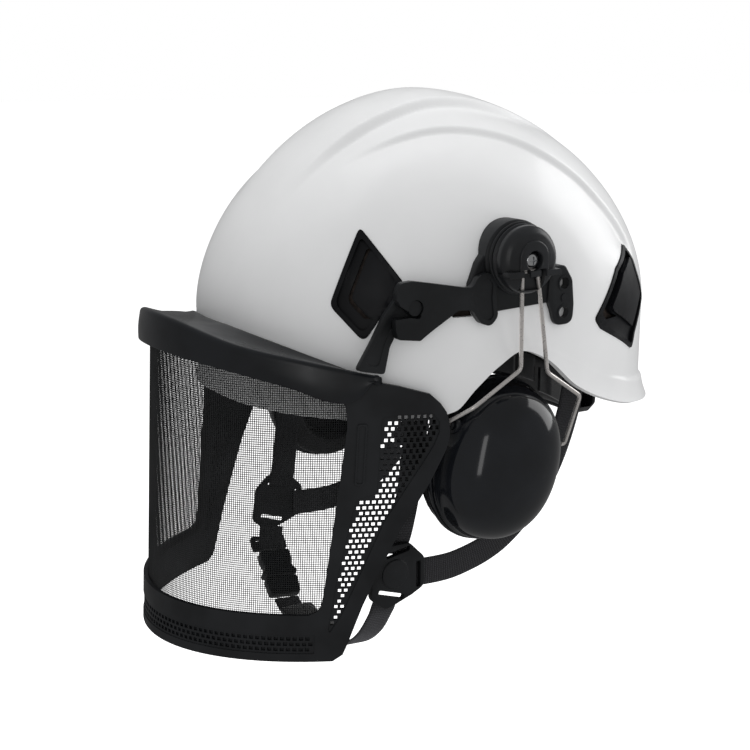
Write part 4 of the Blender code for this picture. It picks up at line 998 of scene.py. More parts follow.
combine(yoke, box("cavity", (-NAPE_HALF_WIDTH - 9, 105.4, KNOB_Z - 12.2),
                  (NAPE_HALF_WIDTH + 9, 112.2, KNOB_Z + 12.2)))
for sign in (-1, 1):
    ends = sorted((sign * 33.6, sign * 46.0))
    combine(yoke, box("mouth", (ends[0], 102.0, KNOB_Z - 12.2), (ends[1], 106.0, KNOB_Z + 12.2)))
combine(yoke, rod("shaft_hole", (0, 110, KNOB_Z), (0, 118, KNOB_Z), 3.6))
ribs = []
for k in range(9):
    for sign in (-1, 1):
        x = sign * (21 + k * 1.7)
        ribs.append(box("rib", (x - 0.45, NAPE_Y[1] - 0.5, KNOB_Z - 9),
                        (x + 0.45, NAPE_Y[1] + 0.5, KNOB_Z + 9)))
combine(yoke, joined("ribs", ribs))
place(yoke, "helmet", "band_black", "nape_yoke")


def nape_pad_point(u, v):
    return Vector((lerp(-32.8, 32.8, u), 101.4, KNOB_Z + lerp(-13.8, 13.8, v)))


nape_pad = slab("nape_pad_visual", nape_pad_point, 30, 12, 2.2, PAD_FABRIC, outside=(0, 0, KNOB_Z))
stuffed(nape_pad, 1.6, 6.0, 0.8)
place(nape_pad, "helmet", "pad_fabric", "nape_pad", padded=0.5, angle=80)


def tail(side, sign):
    """Headband tail: a curved tab that narrows to the rack in the nape yoke."""
    level = KNOB_Z + sign * (PINION_RADIUS + 0.4 + RACK / 2)
    path = [Vector((sign * -12, 109, level)), Vector((sign * 40, 109, level))]
    for deg in (149, 140, 131, 122, TAIL_START_DEG):
        p = band_point(deg, 0, 0.9)
        path.append(Vector((sign * p.x, p.y, 12.5 + band_drop(deg))))

    def fn(u, v):
        t = u * (len(path) - 1)
        k = min(int(t), len(path) - 2)
        centre = path[k].lerp(path[k + 1], t - k)
        wide = lerp(RACK, 14.0, smooth((abs(centre.x) - 42) / 16))
        return centre + Z * ((v - 0.5) * wide)

    bm = grid_bm(fn, 72, 4)
    turned_out(bm, (0, 0, 0))
    band = thickened(make("band_tail_%s_visual" % side, bm, BAND_BLACK), 1.6, 0.0)
    teeth = []
    edge = level - sign * RACK / 2
    for k in range(15):
        x = sign * (-11 + k * 2.6)
        outline = [(x - 0.9, edge - sign * 0.1), (x, edge + sign * 1.0), (x + 0.9, edge - sign * 0.1)]
        teeth.append(prism("tooth", outline, lambda u, v, w: (u, w, v), 107, 111))
    combine(band, joined("teeth", teeth))
    place(band, "band_tail_%s" % side, "band_black", "band_tail_%s" % side)


for side, sign in SIDES:
    tail(side, sign)

gear = []
for k in range(48):
    r = PINION_RADIUS if (k % 4) in (1, 2) else PINION_RADIUS - 1.1
    gear.append((r * math.cos(TURN * k / 48), r * math.sin(TURN * k / 48)))
pinion = prism("ratchet_pinion_visual", gear, at_knob, 106.0, 111.6, BAND_BLACK)
combine(pinion, rod("stub", (0, 111.0, KNOB_Z), (0, 116.8, KNOB_Z), 3.2), "UNION")
place(pinion, "ratchet", "band_black", "ratchet_pinion")

knob_edge = []
for k in range(144):
    a = TURN * k / 144
    r = KNOB_RADIUS - 1.5 * (0.5 + 0.5 * math.cos(12 * a)) ** 3
    knob_edge.append((r * math.cos(a), r * math.sin(a)))
knob = prism("ratchet_knob_visual", knob_edge, at_knob, KNOB_Y[0], KNOB_Y[1], BAND_BLACK)
bevelled(knob, 1.1, 3, 60)
combine(knob, rod("dish", (0, KNOB_Y[1] - 1.2, KNOB_Z), (0, KNOB_Y[1] + 3, KNOB_Z), 10.2))
combine(knob, rod("hub", (0, KNOB_Y[1] - 4, KNOB_Z), (0, KNOB_Y[1] - 0.3, KNOB_Z), 5.0), "UNION")
combine(knob, rod("socket", (0, KNOB_Y[0] - 2, KNOB_Z), (0, KNOB_Y[0] + 1.6, KNOB_Z), 3.55))
place(knob, "ratchet", "band_black", "ratchet_knob")


# ================================================================ brackets, hubs and carriers
bm = grid_bm(lambda u, v: shell_point(360 * u, v, 0.4, -60.0, False), 200, 60)
turned_out(bm, (0, 0, 20))
styled(bm)
bmesh.ops.holes_fill(bm, edges=[e for e in bm.edges if e.is_boundary], sides=0)
outward(bm)
block = make("block", bm)

bracket_profile = [(0, 96), (HUB_BASE_RADIUS, 96), (HUB_BASE_RADIUS, 110.0), (19.0, 110.7), (18.2, 111.0),
                   (18.2, 112.1), (19.0, 112.4), (19.0, HUB_BASE_X - 0.5), (18.4, HUB_BASE_X),
                   (0, HUB_BASE_X)]
bracket = lathe("muff_bracket_left_visual", soft_profile(bracket_profile, 0.35, 3), HUB,
                BRACKET_BLACK)
plate = prism("plate", rounded([(-20.8, 48), (-20.8, 80), (-16, 86), (12, 86), (20, 70), (25.4, 69),
                                (30.8, 61.5), (32.2, 48), (31.6, 38.4), (21.2, 38), (18.6, 46),
                                (16.5, 50)],
                               (1, 3, 3, 3, 3, 3, 6, 6, 5.6, 5.4, 4, 2)), along_x, 96, 111.6)
front_ear = prism("front_ear", rounded([(-28, 54), (-33, 62), (-27, 74), (-18, 84), (-12, 84), (-12, 48),
                                        (-20, 48), (-22, 44), (-26, 46)],
                                       (3, 4, 6, 3, 0, 0, 2, 3, 4)), along_x, 96, 109.2)
ear = prism("ear", rounded([(16.5, 69.5), (26.4, 69.5), (31.6, 61.5), (33.0, 48), (32.4, 37.6),
                            (20.4, 37.2), (17.8, 46), (15.5, 52)],
                           (2, 3.4, 6, 6, 6.0, 5.6, 4, 2)), along_x, 96, EAR_PLATE_X)
bevelled(plate, 0.7, 3)
bevelled(front_ear, 0.7, 3)
bevelled(ear, 0.8, 3)
for extra in (plate, front_ear, ear, axle("boss", 108, EAR_PLATE_X + 0.5, 2.6, (26.2, 52.1),
                                         radius_end=2.3),
              axle("edge", 108, EAR_PLATE_X + 0.35, 4.4, (25.8, 60.0), radius_end=4.1),
              axle("edge", 108, EAR_PLATE_X + 0.35, 4.4, (25.8, 44.2), radius_end=4.1)):
    combine(bracket, extra, "UNION")
combine(bracket, block, keep=True)
for z in (60.0, 44.2):
    combine(bracket, axle("hole", 100, 118, 3.1, (25.8, z)))
combine(bracket, axle("thread", 105, 118, 2.6, HUB))
pair(bracket, "helmet", "bracket_black", "muff_bracket_%s")

screw_head = soft_profile([(4.2, 121.6), (4.25, 122.8), (3.7, 124.2), (2.0, 124.9), (0, 125.0)], 0.7, 4)
screw = lathe("hub_screw_left_visual", [(0, 106.5), (2.2, 106.5), (2.2, 121.6)] + screw_head,
              HUB, SCREW_STEEL, 64)
for size in ((0.42, 2.1), (2.1, 0.42)):
    combine(screw, box("cross", (122.9, HUB_Y - size[0], HUB_Z - size[1]),
                       (127, HUB_Y + size[0], HUB_Z + size[1])))
bevelled(screw, 0.12, 2, 40)
pair(screw, "helmet", "steel_wire", "hub_screw_%s")

hub_profile = [(0, HUB_BASE_X + 0.4), (HUB_RADIUS + 0.8, HUB_BASE_X + 0.4), (HUB_RADIUS + 0.8, 115.4),
               (HUB_RADIUS - 0.3, 115.9), (HUB_RADIUS - 0.3, 117.0), (HUB_RADIUS + 0.3, 117.4),
               (HUB_RADIUS + 0.2, 120.6), (HUB_RADIUS - 0.9, 122.4), (14.2, 124.4), (10.0, 125.5),
               (0, 125.6)]
hub = lathe("muff_hub_left_visual", soft_profile(hub_profile, 1.1, 5), HUB, HUB_BLACK)
ARCH_RADIUS, ARCH_FOOT = 9.2, HUB_CHORD_Z + 0.3 - HUB_Z
arch = [(-ARCH_RADIUS, ARCH_FOOT)]
for k in range(25):
    a = math.pi * k / 24
    arch.append((-ARCH_RADIUS * math.cos(a), 1.4 + ARCH_RADIUS * math.sin(a)))
arch.append((ARCH_RADIUS, ARCH_FOOT))
plateau = prism("arch", arch, lambda u, v, w: (w, HUB_Y + u, HUB_Z + v), 120, HUB_FACE_X + 0.5)
bevelled(plateau, 1.0, 3, 60)
combine(hub, plateau, "UNION")
combine(hub, box("chord", (117.0, HUB_Y - 30, 40), (140, HUB_Y + 30, HUB_CHORD_Z)))
lip_outline = [(HUB_Y - 16.6, HUB_CHORD_Z - 1.8), (HUB_Y + 16.6, HUB_CHORD_Z - 1.8),
               (HUB_Y + 16.0, HUB_CHORD_Z + 1.4), (HUB_Y - 16.0, HUB_CHORD_Z + 1.4)]
lip = prism("lip", rounded(lip_outline, 0.6, 3), along_x, 116.5, 127.4)
bevelled(lip, 0.4, 2, 50)
combine(hub, lip, "UNION")
combine(hub, axle("recess", 119.1, 130, 5.1, HUB))
combine(hub, axle("rim", 126.0, 126.6, 5.1, HUB, radius_end=5.7))
combine(hub, axle("bore", 110, 124, 2.5, HUB))
combine(hub, box("groove", (119.9, HUB_Y - 7.2, 60), (124.1, HUB_Y + 7.2, 71.9)))
for y in (-5.2, 5.2):
    combine(hub, box("notch", (119.9, HUB_Y + y - 1.9, 60), (128, HUB_Y + y + 1.9, 71.2)))
combine(hub, box("groove", (119.9, HUB_Y - 7.2, 60), (126.3, HUB_Y + 7.2, 69.0)))
bevelled(hub, 0.25, 2, 45)
pair(hub, "muff_hub_%s", "bracket_black", "muff_hub_%s")

carrier_outline = rounded([(-75.2, 62), (-73.5, 67), (-66, 67.5), (-33.5, 62.0), (-30.0, 67.5), (-23, 70),
                           (-18.2, 64), (-18.6, 56), (-17.2, 46), (-22, 41.0), (-28, 43.5), (-33.5, 50.8),
                           (-41.5, 51.2), (-61.2, 36.6), (-74.2, 38.4), (-75.8, 43.4), (-75.8, 49.2),
                           (-75.0, 50.2)],
                          (4, 4, 5, 5, 4, 6, 5, 6, 5, 5, 5, 5, 3, 2, 2, 1, 0, 0))
bm = prism_bm(carrier_outline, along_x, *CARRIER_X)
carrier = make("visor_carrier_left_visual", bm, BRACKET_BLACK)
combine(carrier, axle("eye", 96, 112, PIN_RADIUS + 0.3, HINGE))
notch = [(-84, 48.4), (-67.2, 49.0), (-62.2, 48.0), (-60.9, 48.8), (-60.9, 53.6), (-66.4, 52.2),
         (-69.0, 52.6), (-73.2, 55.4), (-74.6, 58.0), (-84, 59.0)]
cut(carrier, rounded(notch, (0, 0.8, 0.8, 0.6, 0.6, 0.6, 1.6, 2.0, 1.0, 0)), along_x, 96, 112)
# dished lobe at the fixed end
dish = [(-29.5, 64.6), (-23.6, 67.2), (-20.6, 63.2), (-21.2, 56), (-19.9, 46.6), (-22.6, 44.0),
        (-27, 46.0), (-31.2, 53.0), (-34.6, 56.8)]
cut(carrier, rounded(dish, 2.5), along_x, CARRIER_X[1] - 0.8, 120)
bm = bmesh.new()
bm.from_mesh(carrier.data)
sliced(bm, Y, range(-62, -20, 3))
for vert in bm.verts:
    vert.co.x += (CARRIER_LOBE_X - CARRIER_X[0]) * MM * smooth((vert.co.y / MM + 62) / 26)
bm.to_mesh(carrier.data)
bm.free()
bevelled(carrier, 0.55, 3, 50)
pair(carrier, "helmet", "bracket_black", "visor_carrier_%s")


# ================================================================ visor
def visor_axes(z):
    t = (26 - z) / 160
    return VISOR_LENGTH - VISOR_TAPER_LENGTH * t, VISOR_SIDE - VISOR_TAPER_SIDE * t


def visor_point(deg, z, grow=0.0):
    length, side = visor_axes(z)
    a = math.radians(deg)
    return Vector(((side + grow) * math.sin(a), -(length + grow) * math.cos(a), z))


def visor_deg(y, z):
    return math.degrees(math.acos(min(1.0, max(-1.0, -y / visor_axes(z)[0]))))


TOP_RIM = ((-165, 45.0), (-143, 34.0), (-116, 27.5), (-83, 20.0))
BAND_LOW = ((-166, 26.4), (-140, 19.4), (-118, 12.5), (-104, 6.5), (-96, 5.2), (-90, 8.0), (-83, 17.0))
GUARD_END_DEG = 61.0


def guard_point(u, v):
    deg = lerp(-GUARD_END_DEG, GUARD_END_DEG, u)
    y = visor_point(deg, 26).y
    rim = visor_point(deg, table(TOP_RIM, y))
    low = visor_point(deg, min(table(BAND_LOW, y), rim.z - 3.2), 0.8)
    x_in, y_in = plan_point(deg * 0.845, 2.0)
    inner = Vector((x_in, y_in, lerp(37.0, 17.6, min(1.0, max(0.0, (y_in + 128) / 44)))))
    across = inner - rim
    if v <= 0.45:
        t = v / 0.45
        p = inner.lerp(rim + across.normalized() * 3.4, t)
        return p - Z * (1.5 * math.sin(math.pi * t) * min(1.0, across.length / 20))
    start, end = rim + across.normalized() * 3.4, rim + (low - rim).normalized() * 3.4
    if v <= 0.62:
        t = (v - 0.45) / 0.17
        return start * (1 - t) ** 2 + rim * 2 * t * (1 - t) + end * t * t
    t = (v - 0.62) / 0.38
    return end.lerp(low, t) + (rim + low - inner * 2).normalized() * (0.5 * math.sin(math.pi * t))


guard = slab("brow_guard_visual", guard_point, 150, 34, GUARD_THICK, GUARD_BLACK, outside=(0, -60, -10),
             even=False)
bevelled(guard, 0.6, 3, 60)
place(guard, "visor", "gloss_black", "brow_guard", angle=50)

WING_EDGE = ((15.0, -81.3), (12.8, -71.4), (8.1, -55.9), (3.0, -50.4), (-1.9, -47.0), (-7.0, -45.3),
             (-11.9, -44.7), (-17.0, -44.9), (-22.5, -46.6), (-40, -55.0), (-64.1, -69.0), (-90, -80.8),
             (-107.9, -88.3), (-130.5, -96.3), (VISOR_BOTTOM_Z + 3.5, -98.0), (VISOR_BOTTOM_Z, -103.0))
WINDOW_EDGE = ((8.6, -101.5), (6, -97.8), (0.5, -96.4), (-8.3, -96.0), (-40, -99.8), (-70, -103.6),
               (-100, -107.4), (-106, -108.6), (-109.5, -110.6), (WINDOW_BOTTOM_Z, -114.5))

# run of the visor's surface, by angle from the front
RUN = [0.0]
for step in range(1, 181):
    a = math.radians(step - 0.5)
    RUN.append(RUN[-1] + math.radians(1) * math.hypot((VISOR_SIDE - 3) * math.cos(a),
                                                      (VISOR_LENGTH + 2) * math.sin(a)))


def run_of(deg):
    k = min(int(deg), 179)
    return lerp(RUN[k], RUN[k + 1], deg - k)


def deg_of(run):
    low = 0
    for k, value in enumerate(RUN):
        if value <= run:
            low = k
    return low + (run - RUN[low]) / (RUN[min(low + 1, 180)] - RUN[low])


def frame_top(y):
    return table(((-165, 34.5), (-140, 27.0), (-118, 20.5), (-100, 15.0), (-81, 15.0)), y)


def unrolled(points):
    return [(run_of(visor_deg(y, z)), z) for z, y in points]


def on_visor(run, z, w):
    """From the unrolled sheet to the visor: run along the surface, height and depth outwards."""
    p = visor_point(math.copysign(deg_of(abs(run)), run), z, FRAME_IN + w)
    flare = WING_FLARE * smooth((p.y + 88) / 44)
    return Vector((p.x + math.copysign(flare, p.x), p.y, p.z))


def mirrored_outline(side_points, top_edge):
    """A closed outline from one side's points (top to bottom) and a top edge across the middle."""
    return top_edge + side_points + [(-s, z) for s, z in reversed(side_points)]


top_runs = [(-1 + 2 * k / 48) for k in range(1, 48)]
wing = unrolled(WING_EDGE)
top_edge = [(f * wing[0][0], frame_top(visor_point(deg_of(abs(f * wing[0][0])), 20).y)) for f in top_runs]
sheet = prism("screen_frame_visual", mirrored_outline(wing, top_edge), flat, -FRAME_THICK, 0, FRAME_BLACK)
window = unrolled(WINDOW_EDGE)
base_top = frame_top(-98.0)
window_top = [(f * window[0][0], window[0][1] + frame_top(visor_point(deg_of(abs(f * window[0][0])), 20).y)
               - base_top) for f in top_runs]
cut(sheet, mirrored_outline(window, window_top), flat, -9, 9)


def inside(point, polygon):
    hit = False
    for (x0, y0), (x1, y1) in zip(polygon, polygon[1:] + polygon[:1]):
        if (y0 > point[1]) != (y1 > point[1]) and point[0] < (x1 - x0) * (point[1] - y0) / (y1 - y0) + x0:
            hit = not hit
    return hit


def many_boxes(name, boxes):
    bm = bmesh.new()
    for low, high in boxes:
        made = bmesh.ops.create_cube(bm, size=1.0)
        for vert in made["verts"]:
            vert.co = Vector([lerp(low[k], high[k], vert.co[k] + 0.5) for k in range(3)])
    bmesh.ops.recalc_face_normals(bm, faces=bm.faces)
    return make(name, bm)


# perforated field of each wing, sunk a little inside a smooth border
FIELD = [(-3.2, -79.4), (-1.6, -60.0), (-2.2, -54.0), (-7.0, -50.4), (-13.0, -50.6), (-20.0, -53.4),
         (-34.0, -62.0), (-60.0, -77.4), (-90.0, -89.6), (-112.0, -98.6), (-122.0, -104.6),
         (-119.0, -105.2), (-95.0, -101.6), (-60.0, -94.6), (-47.4, -91.6), (-44.4, -81.6)]
field = unrolled(FIELD)
boxes = []
PITCH, HOLE = 3.3, 1.9
for row in range(40):
    z = -3.9 - row * PITCH * 0.92
    for col in range(60):
        s = 100 + col * PITCH + (PITCH / 2 if row % 2 else 0)
        h = HOLE / 2
        if all(inside((s + a * h * 1.25, z + b * h * 1.25), field) for a in (-1, 1) for b in (-1, 1)):
            for sign in (-1, 1):
                boxes.append(((sign * s - h, z - h * 1.2, -6), (sign * s + h, z + h * 1.2, 6)))
for sign in (-1, 1):
    shape = rounded([(sign * s, z) for s, z in field], 2.0, 3)
    cut(sheet, shape, flat, -0.55, 4)
combine(sheet, many_boxes("holes", boxes))

# raised bar in front of the field
bar = [(-6.6, -91.0), (-6.6, -86.2), (-39.5, -87.6), (-39.5, -92.4)]
for sign in (-1, 1):
    outline = rounded([(sign * s, z) for s, z in unrolled(bar)], 1.6, 5)
    cut(sheet, outline, flat, -0.5, 0.75, "UNION")
    inner_bar = rounded(grown([(sign * s, z) for s, z in unrolled(bar)], -0.9), 1.2, 5)
    cut(sheet, inner_bar, flat, 0.25, 3)

# bottom strip: three rows of small blind pockets in a sunk panel
strip_end = run_of(visor_deg(-113.5, -128.0))
panel = rounded([(-strip_end - 2, -122.6), (strip_end + 2, -122.6), (strip_end + 2, -133.4),
                 (-strip_end - 2, -133.4)], 1.0, 3)
cut(sheet, panel, flat, -0.5, 4)
boxes = []
for row in range(3):
    z = -124.9 - row * 3.1
    count = int(strip_end / 3.4)
    for col in range(-count, count + 1):
        s = col * 3.4 + (1.7 if row == 1 else 0)
        if abs(s) < strip_end:
            boxes.append(((s - 1.15, z - 1.0, -1.7), (s + 1.15, z + 1.0, 3)))
combine(sheet, many_boxes("pockets", boxes))
bm = bmesh.new()
bm.from_mesh(sheet.data)
bmesh.ops.triangulate(bm, faces=bm.faces)
sliced(bm, X, [k * 3.0 for k in range(-86, 87)])
sliced(bm, Y, range(-140, 40, 9))
for vert in bm.verts:
    vert.co = on_visor(*(vert.co / MM)) * MM
bmesh.ops.triangulate(bm, faces=[f for f in bm.faces if len(f.verts) > 4])
bmesh.ops.recalc_face_normals(bm, faces=bm.faces)
bm.to_mesh(sheet.data)
bm.free()
place(sheet, "visor", "frame_black", "screen_frame", angle=40)


# woven wire screen: two layers of round wires, the upright ones laid over the level ones
def wire_bm(bm, points, side, radius):
    rings = []
    for i, point in enumerate(points):
        ahead = (points[min(i + 1, len(points) - 1)] - points[max(i - 1, 0)]).normalized()
        a = (side - ahead * side.dot(ahead)).normalized() if side else ahead.cross(Z).normalized()
        b = ahead.cross(a)
        rings.append([bm.verts.new(point + a * radius), bm.verts.new(point + b * radius),
                      bm.verts.new(point - a * radius), bm.verts.new(point - b * radius)])
    for first, second in zip(rings, rings[1:]):
        for k in range(4):
            bm.faces.new((first[k], second[k], second[(k + 1) % 4], first[(k + 1) % 4]))
    bm.faces.new(rings[0])
    bm.faces.new(rings[-1])


MESH_PITCH, WIRE_R = 1.2, 0.2
SCREEN_GROW = -FRAME_THICK - 0.35 - SCREEN_THICK / 2
screen_side = run_of(visor_deg(-94.0, 0))


def screen_end(z):
    return run_of(visor_deg(lerp(-93.6, -108.0, smooth(-z / 116) if z < 0 else 0), z))


def screen_top(run):
    return base_top - 3.5 + (frame_top(visor_point(deg_of(abs(run)), 20).y) - base_top)


bm = bmesh.new()
low_z = WINDOW_BOTTOM_Z - 4.5
count = int(screen_side / MESH_PITCH)
for k in range(-count, count + 1):
    run = k * MESH_PITCH
    top = screen_top(run)
    start = low_z
    while start < top - 4 and abs(run) > screen_end(start):
        start += 2.0
    rows = max(3, int((top - start) / 6))
    points = [on_visor(run, lerp(start, top, i / rows), SCREEN_GROW + WIRE_R * 0.8) for i in range(rows + 1)]
    wire_bm(bm, points, None, WIRE_R)
level = low_z
while level < base_top + 18:
    end = min(screen_end(level), screen_side)
    if level > screen_top(end):
        inner_runs = [r for r in range(0, int(end)) if screen_top(r) > level]
        end = max(inner_runs) if inner_runs else 0
    if end > 4:
        cols = max(6, int(end / 3.2))
        points = [on_visor(lerp(-end, end, i / cols), level, SCREEN_GROW - WIRE_R * 0.8)
                  for i in range(cols + 1)]
        wire_bm(bm, points, Z, WIRE_R)
    level += MESH_PITCH
bmesh.ops.recalc_face_normals(bm, faces=bm.faces)
screen = make("mesh_screen_visual", bm, SCREEN)
place(screen, "visor", "screen_mesh", "mesh_screen", angle=60)

arm = prism("visor_arm_left_visual", rounded([(-95.5, 24.0), (-79.5, 20.4), (-76.5, 34), (-72.5, 41),
                                              (-61, 46), (-57.5, 53.5), (-61, 60.5), (-70, 61.5),
                                              (-79.5, 50.5), (-86.5, 38)],
                                             (2, 2, 8, 5, 4, 5, 5, 8, 8, 10)), along_x, *ARM_X, BRACKET_BLACK)
rib = prism("rib", rounded([(-91.5, 27.0), (-83.0, 24.6), (-79.5, 36), (-75.5, 43.5), (-66, 50.5),
                            (-69, 57.5), (-77.5, 48.5), (-84.5, 37)], 3), along_x, ARM_X[1] - 0.5,
            ARM_X[1] + 3)
combine(arm, rib)
combine(arm, axle("pin", ARM_X[0] + 1, 107.4, PIN_RADIUS, HINGE), "UNION")
bevelled(arm, 0.5, 3, 50)
pair(arm, "visor", "bracket_black", "visor_arm_%s")


# ================================================================ ear muffs
CUP_REAR = Vector((0, math.cos(CUP_TILT), -math.sin(CUP_TILT)))
CUP_UP = Vector((0, math.sin(CUP_TILT), math.cos(CUP_TILT)))
PIVOT = Vector((PIVOT_X, CUP_CENTRE.y, CUP_CENTRE.z)) + CUP_UP * PIVOT_UP


def cup_place(depth, rear, up):
    return CUP_CENTRE + X * depth + CUP_REAR * rear + CUP_UP * up


def oval_rings(name, rings, mat=None, count=112, power_of=2.15, capped=True):
    def fn(u, v):
        k = v * (len(rings) - 1)
        i = min(int(k + 1e-9), len(rings) - 2)
        w, h, d = (lerp(rings[i][j], rings[i + 1][j], k - i) for j in range(3))
        a = TURN * u
        return cup_place(d, w * power(math.cos(a), 2 / power_of), h * power(math.sin(a), 2 / power_of))

    bm = grid_bm(fn, count, len(rings) - 1)
    edges = [e for e in bm.edges if e.is_boundary]
    if edges and capped:
        bmesh.ops.holes_fill(bm, edges=edges, sides=0)
    outward(bm)
    return make(name, bm, mat)


def dome_rings(width, height, depth, start, steps, power_of=2.5):
    rings = []
    for k in range(steps + 1):
        a = math.pi / 2 * k / steps
        share = max(max(math.cos(a), 0.0) ** (2 / power_of), 0.0006)
        rings.append((width * share, height * share, start + depth * math.sin(a) ** (2 / power_of)))
    return rings


skirt = [(36.6, 44.6, 0.0), (37.0, 45.0, 0.5), (37.0, 45.0, 2.4), (36.6, 44.6, 2.9)]
cup_dome = dome_rings(CUP_HALF_WIDTH, CUP_HALF_HEIGHT, CUP_DEPTH, 0.0, 30)
above_skirt = [(r[0] * 0.992, r[1] * 0.993, r[2]) for r in cup_dome[1:] if r[2] > 3.1]
cup = oval_rings("ear_cup_left_visual", skirt + above_skirt, GLOSS_BLACK)
hollow = oval_rings("hollow", [(33.5, 41.5, -3.0)] + dome_rings(33.5, 41.5, 29.5, 0.0, 10), None, 64)
for sign in (-1, 1):
    combine(cup, bevelled(rod("boss", PIVOT + CUP_REAR * sign * 24, PIVOT + CUP_REAR * sign * PIVOT_BOSS,
                              4.6), 0.6, 3, 50), "UNION")
combine(cup, hollow)
for sign in (-1, 1):
    combine(cup, rod("hole", PIVOT + CUP_REAR * sign * 20, PIVOT + CUP_REAR * sign * 40, 2.3))
pair(cup, "ear_cup_%s", "gloss_black", "ear_cup_%s", angle=40)

plate_rings = [(37.2, 45.2, -4.6), (37.8, 45.8, -4.3), (38.0, 46.0, -3.8), (38.0, 46.0, -1.4),
               (37.8, 45.8, -0.9), (37.2, 45.2, -0.5)]
plate = oval_rings("cup_plate_left_visual", plate_rings, GLOSS_BLACK)
combine(plate, oval_rings("opening", [(20.0, 28.0, -8.0), (20.0, 28.0, 3.0)]))
pair(plate, "ear_cup_%s", "gloss_black", "cup_plate_%s")

foam = oval_rings("cup_foam_left_visual", [(27.6, 35.6, 3.2), (29.4, 37.4, 4.4), (30.0, 38.0, 7.0),
                                           (30.0, 38.0, 12.5), (28.6, 36.6, 14.0)], FOAM_GREY, 64)
for vert in foam.data.vertices:
    p = vert.co / MM
    wave = math.sin(p.y * 0.75) * math.sin(p.z * 0.75)
    if p.x < 97 + 5.5:
        vert.co.x += 0.5 * wave * MM
pair(foam, "ear_cup_%s", "foam_grey", "cup_foam_%s", angle=60, padded=0.5)

cushion_rings = [(29.6, 37.6, -18.0), (33.0, 41.0, -17.4), (35.3, 43.3, -15.0), (35.9, 43.9, -12.0),
                 (35.2, 43.2, -8.4), (33.0, 41.0, -6.0)]
ear_hole_rings = [(24.2, 32.2, -26.0), (24.2, 32.2, -16.5), (21.8, 29.8, -14.5), (21.8, 29.8, 0.0)]
cushion = oval_rings("cup_cushion_left_visual", cushion_rings, CUSHION_FILM, 96)
combine(cushion, oval_rings("ear_hole", ear_hole_rings, None, 96))
stuffed(cushion, 2.2, 5.0, 1.0, 16, 1)
# welded seam round the outside, with the small puckers it pulls into the film
for vert in cushion.data.vertices:
    p = vert.co / MM - CUP_CENTRE
    rear, up, depth = p.dot(CUP_REAR), p.dot(CUP_UP), p.x
    outer = math.hypot(rear / 36.0, up / 44.0)
    a = math.atan2(up / 44.0, rear / 36.0)
    if outer > 0.86:
        out = (CUP_REAR * rear + CUP_UP * up).normalized()
        seam = 1 - smooth(abs(depth + 7.4) / 1.4)
        pucker = (0.5 + 0.5 * math.sin(a * 46)) * (1 - smooth(abs(depth + 9.6) / 3.0))
        vert.co -= out * (0.9 * seam + 0.22 * pucker) * MM
pair(cushion, "ear_cup_%s", "cushion", "cup_cushion_%s", angle=80, padded=0.7)

FRONT_Y, REAR_Y = HUB_Y - 4.8, HUB_Y + 4.8
WIRE_SHOWN = 1.15
wire = tube("yoke_wire_left_visual", [PIVOT - CUP_REAR * 36.9, PIVOT - CUP_REAR * 39.9, (113.0, -31.0, -1.0),
                                      (114.5, -2.5, 16.4), (FLIP_X, FRONT_Y, FLIP_Z),
                                      (FLIP_X, REAR_Y, FLIP_Z), (115.0, 14.7, 12.9), (111.0, 40.9, -4.0),
                                      PIVOT + CUP_REAR * 43.2, PIVOT + CUP_REAR * 37.9],
            WIRE_SHOWN, STEEL, 2.6, 16, 6)
pair(wire, "muff_yoke_%s", "steel_wire", "yoke_wire_%s", angle=60)

for side, sign, end, bore in (("front", -1, FRONT_SLEEVE_END, 36.6), ("rear", 1, SLEEVE_END, 37.6)):
    inner_end, shoulder = PIVOT + CUP_REAR * sign * 31.0, PIVOT + CUP_REAR * sign * (PIVOT_BOSS + 0.4)
    sleeve = bevelled(rod("wire_sleeve_%s_left_visual" % side, shoulder, PIVOT + CUP_REAR * sign * end, 2.7,
                          BRACKET_BLACK, 32), 0.4, 3, 50)
    combine(sleeve, rod("stub", inner_end, shoulder + CUP_REAR * sign * 1.0, 2.0, None, 24), "UNION")
    combine(sleeve, rod("bore", PIVOT + CUP_REAR * sign * bore, PIVOT + CUP_REAR * sign * 46, 1.85, None, 24))
    pair(sleeve, "muff_yoke_%s", "bracket_black", "wire_sleeve_%s_%%s" % side)


# ================================================================ chin strap
def both_straps(name, path, across, cad, steps=8):
    strap = ribbon(name, path, across, STRAP_WIDTH, STRAP_THICK, WEBBING, steps)
    pair(strap, "helmet", "webbing", cad)


both_straps("strap_front_left_visual", [(83.5, -37, 31), (82.0, -37.5, 20), (79.6, -39, 8),
                                        (75.4, -42, -12), (74.4, -46, -50), (72.2, -50.5, -78),
                                        (70.2, -54, -91)],
            (Vector((-0.25, 1, 0.1)), Vector((-0.1, 1, 0.1)), Vector((0, 0.97, 0.22))), "strap_front_%s")
both_straps("strap_rear_left_visual", [(73.0, 66, 31), (73.2, 67, 8), (72.5, 64, -24), (72.5, 48, -62),
                                       (72.0, 20, -92), (71.6, -12, -104), (71.6, -44, -104.5)],
            (Vector((-0.3, 1, -0.1)), Vector((0, 0.85, -0.45)), Vector((0, 0.5, 0.9)), Vector((0, 0.06, 1))),
            "strap_rear_%s")

